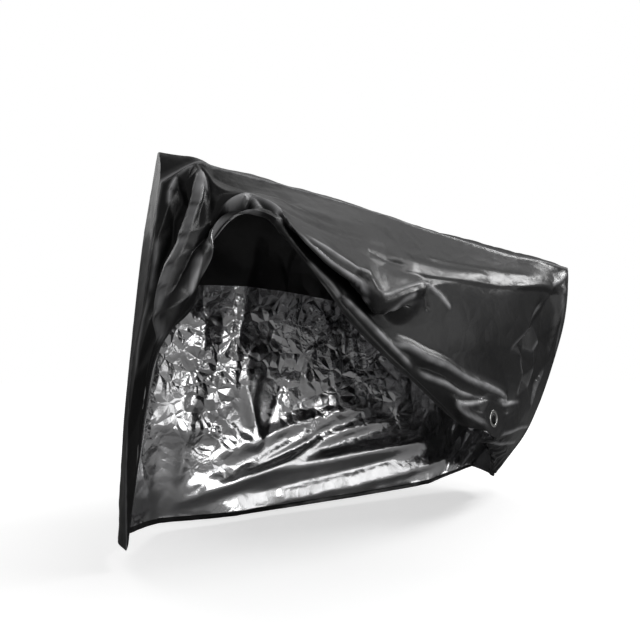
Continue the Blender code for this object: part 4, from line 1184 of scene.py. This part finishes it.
def row_beside(sheet, thickness, distances, target, axis):
    """Points on the sheet's outer face at one distance from an edge, and their normals. The edge
    runs along the sheet's columns for axis 0, and along its rows for axis 1."""
    points, normals = [], []
    count = sheet.v.shape[axis]
    for k in range(count):
        here = (k, slice(None)) if axis == 0 else (slice(None), k)
        distance, run, facing = distances[here], sheet.points[here], sheet.normals[here]
        order = np.argsort(distance)
        points.append([np.interp(target, distance[order], run[order, c]) for c in range(3)])
        normals.append([np.interp(target, distance[order], facing[order, c]) for c in range(3)])
    points, normals = np.array(points), unit(np.array(normals))
    return points + normals * thickness / 2, normals


# ---------------------------------------------------------------- materials
def add_node(tree, kind, **settings):
    """Add a node with its settings."""
    made = tree.nodes.new(kind)
    for name, value in settings.items():
        setattr(made, name, value)
    return made


def set_inputs(made, values):
    """Set a node's own sockets."""
    for name, value in values.items():
        made.inputs[name].default_value = value
    return made


MIX_FIRST, MIX_SECOND, MIX_RESULT = 6, 7, 2   # a Mix node's sockets for colours


def maths(tree, operation, first, second=None):
    """A Math node on links or numbers; gives its output."""
    made = add_node(tree, "ShaderNodeMath", operation=operation)
    for socket, value in zip(made.inputs, (first, second)):
        if value is None:
            continue
        if isinstance(value, (int, float)):
            socket.default_value = value
        else:
            tree.links.new(value, socket)
    return made.outputs[0]


def shading_group(name, inputs, outputs):
    """An empty shader node group with float inputs and the named outputs."""
    group = bpy.data.node_groups.new(name, "ShaderNodeTree")
    for label, value in inputs.items():
        socket = group.interface.new_socket(label, in_out="INPUT", socket_type="NodeSocketFloat")
        socket.default_value = value
    for label in outputs:
        group.interface.new_socket(label, in_out="OUTPUT", socket_type="NodeSocketFloat")
    return group, group.nodes.new("NodeGroupInput"), group.nodes.new("NodeGroupOutput")


def spread(tree, value, low, high, to_low, to_high, interpolation="LINEAR"):
    """Map a mask's range onto another range."""
    made = add_node(tree, "ShaderNodeMapRange", interpolation_type=interpolation)
    set_inputs(made, {"From Min": low, "From Max": high, "To Min": to_low, "To Max": to_high})
    tree.links.new(value, made.inputs["Value"])
    return made.outputs[0]


def object_place(tree):
    """The piece's own coordinates."""
    return add_node(tree, "ShaderNodeTexCoord").outputs["Object"]


def noise_at(tree, place, values):
    """A noise texture in the given place."""
    made = set_inputs(add_node(tree, "ShaderNodeTexNoise"), values)
    tree.links.new(place, made.inputs["Vector"])
    return made


def bent_place(tree, place, warp, amount):
    """A place that a noise bends by up to so much."""
    made = add_node(tree, "ShaderNodeVectorMath", operation="MULTIPLY_ADD")
    tree.links.new(warp.outputs["Color"], made.inputs[0])
    made.inputs[1].default_value = (amount, amount, amount)
    tree.links.new(place, made.inputs[2])
    return made.outputs[0]


def to_nearest_edge(tree, place, scale):
    """Distance to the nearest edge between random facets."""
    made = add_node(tree, "ShaderNodeTexVoronoi", feature="DISTANCE_TO_EDGE")
    tree.links.new(place, made.inputs["Vector"])
    tree.links.new(scale, made.inputs["Scale"])
    return made.outputs["Distance"]


@functools.lru_cache(maxsize=None)
def weave_group():
    """Plain weave: the height of crossing threads."""
    group, given, result = shading_group("Cover weave", {"Thread Spacing": 0.0009}, ["Height"])
    parts = group.nodes.new("ShaderNodeSeparateXYZ")
    group.links.new(object_place(group), parts.inputs[0])
    waves = []
    for axis in ("X", "Z"):
        turns = maths(group, "DIVIDE", parts.outputs[axis], given.outputs["Thread Spacing"])
        waves.append(maths(group, "SINE", maths(group, "MULTIPLY", turns, math.pi)))
    crossing = maths(group, "MULTIPLY", waves[0], waves[1])
    group.links.new(crossing, result.inputs["Height"])
    return group


@functools.lru_cache(maxsize=None)
def crumple_group():
    """Crumpled cloth: flat facets that meet in sharp creases, of two sizes, with a slope of 1."""
    group, given, result = shading_group(
        "Cover crumple", {"Large Facets": 22.0, "Small Facets": 60.0, "Small Share": 0.4},
        ["Height"])
    place = object_place(group)
    warp = noise_at(group, place, {"Scale": 7.0, "Detail": 1.0})
    bent = bent_place(group, place, warp, 0.05)
    large, small = (maths(group, "DIVIDE", to_nearest_edge(group, bent, given.outputs[size]),
                          given.outputs[size]) for size in ("Large Facets", "Small Facets"))
    here = spread(group, warp.outputs["Fac"], 0.40, 0.62, 0.2, 1.0, "SMOOTHSTEP")
    share = maths(group, "MULTIPLY", given.outputs["Small Share"], here)
    small = maths(group, "MULTIPLY", small, share)
    group.links.new(maths(group, "ADD", large, small), result.inputs["Height"])
    return group


@functools.lru_cache(maxsize=None)
def handling_group():
    """Handling marks: fine crease marks and slow wear over the cloth."""
    group, given, result = shading_group(
        "Cover handling", {"Mark Scale": 26.0, "Wear Scale": 5.0}, ["Creases", "Wear", "Grain"])
    place = object_place(group)
    bent = bent_place(group, place, noise_at(group, place, {"Scale": 9.0, "Detail": 3.0}), 0.06)
    cracks = to_nearest_edge(group, bent, given.outputs["Mark Scale"])
    lines = spread(group, cracks, 0.0, 0.08, 1.0, 0.0, "SMOOTHSTEP")
    patches = noise_at(group, place, {"Scale": 7.0, "Detail": 2.0})
    where = spread(group, patches.outputs["Fac"], 0.48, 0.66, 0.0, 1.0, "SMOOTHSTEP")
    group.links.new(maths(group, "MULTIPLY", lines, where), result.inputs["Creases"])
    wear = noise_at(group, place, {"Detail": 5.0, "Roughness": 0.6})
    group.links.new(given.outputs["Wear Scale"], wear.inputs["Scale"])
    group.links.new(wear.outputs["Fac"], result.inputs["Wear"])
    grain = noise_at(group, place, {"Scale": 420.0, "Detail": 2.0})
    group.links.new(grain.outputs["Fac"], result.inputs["Grain"])
    return group


def use_group(tree, group, values):
    """Place a group in a material with its own values."""
    made = tree.nodes.new("ShaderNodeGroup")
    made.node_tree = group
    return set_inputs(made, values)


def new_material(name, values):
    """A material with its Principled BSDF's own sockets set."""
    material = bpy.data.materials.new(name)
    material.use_nodes = True
    shader = material.node_tree.nodes["Principled BSDF"]
    set_inputs(shader, values)
    return material, material.node_tree, shader


def mix_colours(tree, factor, first, second):
    """Blend two colours, or outputs that give one, by a mask."""
    made = add_node(tree, "ShaderNodeMix", data_type="RGBA")
    tree.links.new(factor, made.inputs["Factor"])
    for socket, colour in ((made.inputs[MIX_FIRST], first), (made.inputs[MIX_SECOND], second)):
        if isinstance(colour, bpy.types.NodeSocket):
            tree.links.new(colour, socket)
        else:
            socket.default_value = (*colour, 1.0)
    return made.outputs[MIX_RESULT]


def wear_colour(tree, wear, colour, change):
    """A colour that is multiplied by a change where it is worn."""
    return mix_colours(tree, wear, colour, tuple(c * change for c in colour))


def add_bump(tree, shader, heights):
    """Chain bumps onto a shader: each is a height, a strength and a distance in metres."""
    before = None
    for height, strength, distance in heights:
        bump = add_node(tree, "ShaderNodeBump")
        set_inputs(bump, {"Strength": strength, "Distance": distance})
        tree.links.new(height, bump.inputs["Height"])
        if before is not None:
            tree.links.new(before, bump.inputs["Normal"])
        before = bump.outputs["Normal"]
    tree.links.new(before, shader.inputs["Normal"])


@functools.lru_cache(maxsize=None)
def coated_cloth(colour):
    """Black coated cloth with a soft gloss, a fine weave, faint crease marks and painted highlight
    lines along its creases and seams.
    """
    material, tree, shader = new_material("coated_cloth", {
        "Roughness": 0.36, "Specular IOR Level": 0.6})
    marks = use_group(tree, handling_group(), {"Mark Scale": 22.0, "Wear Scale": 5.0})
    folds = use_group(tree, crumple_group(),
                      {"Large Facets": 11.0, "Small Facets": 34.0, "Small Share": 0.6})
    weave = use_group(tree, weave_group(), {"Thread Spacing": 0.0011})
    worn = wear_colour(tree, spread(tree, marks.outputs["Wear"], 0.35, 0.75, 0.0, 1.0), colour, 1.9)
    # painted highlight: the colour is blended towards a pale grey along the lines noted on the cloth
    painted_highlight = add_node(tree, "ShaderNodeAttribute", attribute_name="painted_highlight")
    tree.links.new(mix_colours(tree, painted_highlight.outputs["Fac"], worn, PAINTED_HIGHLIGHT_COLOUR),
                   shader.inputs["Base Color"])
    rough = maths(tree, "ADD", spread(tree, marks.outputs["Wear"], 0.3, 0.7, 0.31, 0.40),
                  maths(tree, "MULTIPLY", marks.outputs["Creases"], 0.08))
    tree.links.new(rough, shader.inputs["Roughness"])
    add_bump(tree, shader, [
        (folds.outputs["Height"], 1.0, 0.036), (marks.outputs["Creases"], 0.3, 0.0004),
        (weave.outputs["Height"], 0.2, 0.0002), (marks.outputs["Grain"], 0.1, 0.0004)])
    return material


@functools.lru_cache(maxsize=None)
def silver_coating(colour):
    """Silver coating of the inside, crumpled into small facets and a little dulled."""
    material, tree, shader = new_material("silver_coating", {"Metallic": 1.0, "Roughness": 0.26})
    marks = use_group(tree, handling_group(), {"Mark Scale": 34.0, "Wear Scale": 11.0})
    folds = use_group(tree, crumple_group(),
                      {"Large Facets": 20.0, "Small Facets": 56.0, "Small Share": 0.6})
    wear = marks.outputs["Wear"]
    tree.links.new(wear_colour(tree, spread(tree, wear, 0.35, 0.7, 0.0, 1.0), colour, 0.84),
                   shader.inputs["Base Color"])
    tree.links.new(spread(tree, wear, 0.3, 0.75, 0.13, 0.22), shader.inputs["Roughness"])
    crumpled = add_node(tree, "ShaderNodeAttribute", attribute_name="crumpled")
    height = maths(tree, "MULTIPLY", folds.outputs["Height"], crumpled.outputs["Fac"])
    add_bump(tree, shader, [(height, 1.0, 0.34), (marks.outputs["Grain"], 0.05, 0.0004)])
    return material


@functools.lru_cache(maxsize=None)
def sewing_thread(colour):
    """Twisted dark sewing thread."""
    material, tree, shader = new_material("sewing_thread", {"Roughness": 0.6, "Sheen Weight": 0.3})
    marks = use_group(tree, handling_group(), {"Mark Scale": 60.0, "Wear Scale": 40.0})
    tree.links.new(wear_colour(tree, marks.outputs["Wear"], colour, 1.7),
                   shader.inputs["Base Color"])
    add_bump(tree, shader, [(marks.outputs["Grain"], 0.3, 0.0004)])
    return material


@functools.lru_cache(maxsize=None)
def plated_metal(colour):
    """Bright plated metal with fine handling marks."""
    material, tree, shader = new_material("eyelet_metal", {"Metallic": 1.0, "Roughness": 0.2})
    marks = use_group(tree, handling_group(), {"Mark Scale": 90.0, "Wear Scale": 60.0})
    wear = marks.outputs["Wear"]
    tree.links.new(wear_colour(tree, wear, colour, 0.8), shader.inputs["Base Color"])
    tree.links.new(spread(tree, wear, 0.3, 0.7, 0.14, 0.28), shader.inputs["Roughness"])
    add_bump(tree, shader, [(marks.outputs["Grain"], 0.05, 0.0002)])
    return material


# ---------------------------------------------------------------- operators
@functools.lru_cache(maxsize=None)
def sewn_cover():
    """The cover's sheets, worked out once for all operators."""
    return SewnCover(bpy.context.scene.cover_cloth)


def cloth_finishes(cloth):
    """The outside's and the inside's materials."""
    return coated_cloth(tuple(cloth.black)), silver_coating(tuple(cloth.silver))


class COVER_OT_near_side(bpy.types.Operator):
    """Near side: hitched up into a roll and a hem band, with the eyelet's hole"""
    bl_idname = "cover.near_side"
    bl_label = "Near side"

    def execute(self, context):
        cloth = context.scene.cover_cloth
        cover = sewn_cover()
        sheet = cover.near
        keep = self.cut_hole(cover)
        piece, cells = closed_sheet("near_side_cloth", sheet.points, sheet.normals,
                                    cloth.thickness, keep)
        in_hem = sheet.from_hem[:-1, 1:] < cloth.hem_width
        finish_sheet(piece, cells, cloth_finishes(cloth), in_hem)
        # the painted highlight lines, noted for the cloth's material
        note_values(piece, sheet.points, "painted_highlight", sheet.marks)
        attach(piece, "root")
        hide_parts("near_side_panel", "near_rear_band")
        return {"FINISHED"}

    @staticmethod
    def cut_hole(cover):
        """Leave out the cells in the eyelet's bore and round off the hole's edge."""
        sheet = cover.near
        away = sheet.points - cover.centre
        flat = away - (away @ cover.axis)[..., None] * cover.axis
        radius = np.linalg.norm(flat, axis=-1)
        hole = EYELET_BORE + EYELET_SLEEVE + SEAM_GAP
        inside = (radius < hole) & (np.abs(away @ cover.axis) < EYELET_REACH)
        keep = sum(corner.astype(int) for corner in cell_corners(inside)) < 2
        touched, kept = np.zeros(radius.shape, bool), np.zeros(radius.shape, bool)
        for left_out, still_there in zip(cell_corners(touched), cell_corners(kept)):
            left_out |= ~keep
            still_there |= keep
        edge = touched & kept
        sheet.points[edge] += flat[edge] * (hole / radius[edge] - 1.0)[:, None]
        return keep


class COVER_OT_far_side(bpy.types.Operator):
    """Far side: hangs to the floor with its crumpled silver inside showing"""
    bl_idname = "cover.far_side"
    bl_label = "Far side"

    def execute(self, context):
        cloth = context.scene.cover_cloth
        sheet = sewn_cover().far
        piece, cells = closed_sheet("far_side_cloth", sheet.points, sheet.normals, cloth.thickness)
        black_inside = sheet.from_hem < cloth.hem_width
        # painted shade: the upper rows' inside is black, standing in for the shade under the top
        black_inside[:, :LINING_ROW] = True
        finish_sheet(piece, cells, cloth_finishes(cloth), black_inside[:-1, 1:])
        note_values(piece, sheet.points, "crumpled", sheet.crumpled)
        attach(piece, "root")
        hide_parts("far_side_panel")
        return {"FINISHED"}


class COVER_OT_centre_strip(bpy.types.Operator):
    """Centre strip: up the front, along the top and down the rear"""
    bl_idname = "cover.centre_strip"
    bl_label = "Centre strip"

    def execute(self, context):
        cloth = context.scene.cover_cloth
        points, normals, from_edge = strip_grid(sewn_cover(), cloth)
        across = unit(np.gradient(points, axis=1))
        points[:, 0] += across[:, 0] * SEAM_GAP
        points[:, -1] -= across[:, -1] * SEAM_GAP
        piece, cells = closed_sheet("centre_strip_cloth", points, normals, cloth.thickness)
        finish_sheet(piece, cells, cloth_finishes(cloth))
        # painted highlight lines along both of the strip's seams
        painted_highlight, half_width = STRIP_MARK
        note_values(piece, points, "painted_highlight", painted_highlight * np.exp(-(from_edge / half_width) ** 2))
        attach(piece, "root")
        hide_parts("centre_strip")
        return {"FINISHED"}


class COVER_OT_eyelet(bpy.types.Operator):
    """Eyelet: a plated ring with a domed flange on each side of the cloth"""
    bl_idname = "cover.eyelet"
    bl_label = "Eyelet"

    def execute(self, context):
        cover = sewn_cover()
        eyelet = context.scene.cover_eyelet
        outline = self.outline(eyelet.dome)
        corners, faces = [], []
        for step in range(EYELET_STEPS):
            turn = 2 * math.pi * step / EYELET_STEPS
            corners += [(r * math.cos(turn), r * math.sin(turn), z) for r, z in outline]
        count = len(outline)
        for step in range(EYELET_STEPS):
            here, there = step * count, (step + 1) % EYELET_STEPS * count
            for k in range(count):
                after = (k + 1) % count
                faces.append((here + k, there + k, there + after, here + after))
        piece = new_piece("eyelet", corners, faces, plated_metal(tuple(eyelet.metal)))
        piece.data.set_sharp_from_angle(angle=EYELET_EDGE)
        turn = Vector((0.0, 0.0, 1.0)).rotation_difference(Vector(cover.axis)).to_matrix().to_4x4()
        piece.data.transform(Matrix.Translation(Vector(cover.centre)) @ turn)
        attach(piece, "root")
        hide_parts("eyelet_ring")
        return {"FINISHED"}

    @staticmethod
    def outline(dome):
        """The ring's section: radius and height, round one way."""
        middle = (EYELET_BORE + EYELET_RIM) / 2
        reach = (EYELET_RIM - EYELET_BORE) / 2
        arc = [(middle + reach * math.cos(a), EYELET_SEAT + dome * math.sin(a))
               for a in np.linspace(0.0, math.pi, FLANGE_POINTS)]
        sleeve, under = EYELET_BORE + EYELET_SLEEVE, EYELET_SEAT - EYELET_UNDERCUT
        upper = [(sleeve, under), (EYELET_RIM - EYELET_ROUNDING, under)] + arc
        return upper + [(radius, -height) for radius, height in reversed(upper)]


class COVER_OT_stitching(bpy.types.Operator):
    """Stitching: rows of single stitches beside the seams and along the hems"""
    bl_idname = "cover.stitching"
    bl_label = "Stitching"

    def execute(self, context):
        cloth = context.scene.cover_cloth
        cover = sewn_cover()
        thread = sewing_thread(tuple(cloth.thread))
        for name, sheet, slot in (("near_stitching", cover.near, "coated_cloth"),
                                  ("far_stitching", cover.far, "silver_backed_cloth")):
            lines = [(sheet.from_top, SEAM_STITCHING, 0), (sheet.from_front, SEAM_STITCHING, 1),
                     (sheet.from_rear, SEAM_STITCHING, 1)]
            lines += [(sheet.from_hem, from_edge, 0) for from_edge in hem_rows(cloth)]
            rows = [row_beside(sheet, cloth.thickness, *line) for line in lines]
            piece = stitch_rows(name, rows, cloth, thread)
            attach(piece, "root")
        points, normals, _ = strip_grid(cover, cloth)
        rows = [(points[:, k] + normals[:, k] * cloth.thickness / 2, normals[:, k])
                for k in STRIP_STITCHING]
        piece = stitch_rows("strip_stitching", rows, cloth, thread)
        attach(piece, "root")
        self.state_cuts()
        return {"FINISHED"}

    @staticmethod
    def state_cuts():
        """Does nothing."""


class COVER_OT_studio(bpy.types.Operator):
    """Studio: pale floor, white surroundings, soft lights and the camera"""
    bl_idname = "cover.studio"
    bl_label = "Studio"

    def execute(self, context):
        studio = context.scene.cover_studio
        self.add_floor(studio)
        self.add_surroundings(context, studio)
        for row in LIGHTS:
            self.add_light(context, studio, *row)
        self.add_camera(context, studio)
        context.scene.view_settings.view_transform = "Standard"
        return {"FINISHED"}

    @staticmethod
    def add_floor(studio):
        """A wide pale floor under the cover, with a painted glow for the camera and painted shade in
        reflections, which see its colour dimmed.
        """
        material, tree, shader = new_material("floor", {
            "Roughness": 0.75, "Specular IOR Level": 0.2, "Emission Strength": 1.0})
        seen = add_node(tree, "ShaderNodeLightPath")
        # painted shade: reflections and bounced light see the floor's colour dimmed by FLOOR_DIMMED
        dim = tuple(FLOOR_DIMMED * c for c in studio.floor)
        tree.links.new(mix_colours(tree, seen.outputs["Is Camera Ray"], dim, tuple(studio.floor)),
                       shader.inputs["Base Color"])
        # painted light: for the camera the floor also glows, from 0.55 beside the cover to 1.0 far off,
        # fading it into the white backdrop and keeping the shadow pale
        place = add_node(tree, "ShaderNodeTexCoord")
        far = add_node(tree, "ShaderNodeVectorMath", operation="LENGTH")
        tree.links.new(place.outputs["Object"], far.inputs[0])
        fade = spread(tree, far.outputs["Value"], 0.5, 2.6, 0.55, 1.0)
        glow = maths(tree, "MULTIPLY", fade, seen.outputs["Is Camera Ray"])
        tree.links.new(glow, shader.inputs["Emission Color"])
        corners = [(x * FLOOR_REACH, y * FLOOR_REACH, 0)
                   for x, y in ((-1, -1), (1, -1), (1, 1), (-1, 1))]
        floor = new_piece("floor", corners, [(0, 1, 2, 3)], material)
        floor.location.z = studio.floor_z

    @staticmethod
    def add_surroundings(context, studio):
        """White behind the cover, and a dimmer studio for its reflections."""
        world = bpy.data.worlds.new("studio")
        context.scene.world = world
        world.use_nodes = True
        tree = world.node_tree
        backdrop = tree.nodes["Background"]
        set_inputs(backdrop, {"Color": (1.0, 1.0, 1.0, 1.0), "Strength": 1.0})
        room = set_inputs(add_node(tree, "ShaderNodeBackground"),
                          {"Color": (1.0, 1.0, 1.0, 1.0), "Strength": studio.sky})
        seen = add_node(tree, "ShaderNodeLightPath")
        mix = add_node(tree, "ShaderNodeMixShader")
        tree.links.new(seen.outputs["Is Camera Ray"], mix.inputs[0])
        tree.links.new(room.outputs[0], mix.inputs[1])
        tree.links.new(backdrop.outputs[0], mix.inputs[2])
        tree.links.new(mix.outputs[0], tree.nodes["World Output"].inputs["Surface"])

    @staticmethod
    def add_light(context, studio, name, heading, elevation, distance, size, brightness):
        """A soft box that shines at the cover and isn't seen itself."""
        light = bpy.data.lights.new(name, "AREA")
        light.shape = "RECTANGLE"
        light.size, light.size_y = size
        light.energy = brightness * studio.key * math.pi * size[0] * size[1]
        lamp = bpy.data.objects.new(name, light)
        around, up = math.radians(heading), math.radians(elevation)
        away = Vector((math.cos(around) * math.cos(up), math.sin(around) * math.cos(up), math.sin(up)))
        lamp.location = Vector(LIGHTS_AIM) + away * distance
        lamp.rotation_euler = away.to_track_quat("Z", "Y").to_euler()
        lamp.visible_camera = False
        context.scene.collection.objects.link(lamp)

    @staticmethod
    def add_camera(context, studio):
        """The camera at the photograph's angle."""
        camera = bpy.data.cameras.new("camera")
        camera.lens = studio.lens
        camera.sensor_width = 36.0
        eye = bpy.data.objects.new("camera", camera)
        eye.location = CAMERA_AT
        eye.rotation_euler = (math.pi / 2 + studio.tilt, 0.0, -studio.heading)
        context.scene.collection.objects.link(eye)
        context.scene.camera = eye


PIECE_OPERATORS = [COVER_OT_near_side, COVER_OT_far_side, COVER_OT_centre_strip, COVER_OT_eyelet,
                   COVER_OT_stitching, COVER_OT_studio]


class COVER_PT_sidebar(bpy.types.Panel):
    """The cover's pieces and settings in the sidebar"""
    bl_idname = "COVER_PT_sidebar"
    bl_label = "Bicycle cover"
    bl_space_type = "VIEW_3D"
    bl_region_type = "UI"
    bl_category = "Cover"

    def draw(self, context):
        for operator in PIECE_OPERATORS:
            self.layout.operator(operator.bl_idname)
        for setting in SETTINGS:
            group = getattr(context.scene, setting)
            box = self.layout.box()
            for name in group.__annotations__:
                box.prop(group, name)


SETTINGS = {"cover_cloth": CoverCloth, "cover_eyelet": CoverEyelet, "cover_studio": CoverStudio}


def register():
    """Register the settings, the operators and the panel."""
    for name, group in SETTINGS.items():
        bpy.utils.register_class(group)
        setattr(bpy.types.Scene, name, PointerProperty(type=group))
    for cls in [*PIECE_OPERATORS, COVER_PT_sidebar]:
        bpy.utils.register_class(cls)


def unregister():
    """Undo register."""
    for cls in [COVER_PT_sidebar, *reversed(PIECE_OPERATORS)]:
        bpy.utils.unregister_class(cls)
    for name, group in SETTINGS.items():
        delattr(bpy.types.Scene, name)
        bpy.utils.unregister_class(group)


def main():
    """Build the cover and its studio."""
    register()
    bpy.ops.cover.near_side()
    bpy.ops.cover.far_side()
    bpy.ops.cover.centre_strip()
    bpy.ops.cover.eyelet()
    bpy.ops.cover.stitching()
    bpy.ops.cover.studio()
    bpy.context.view_layer.update()


if __name__ == "__main__":
    main()
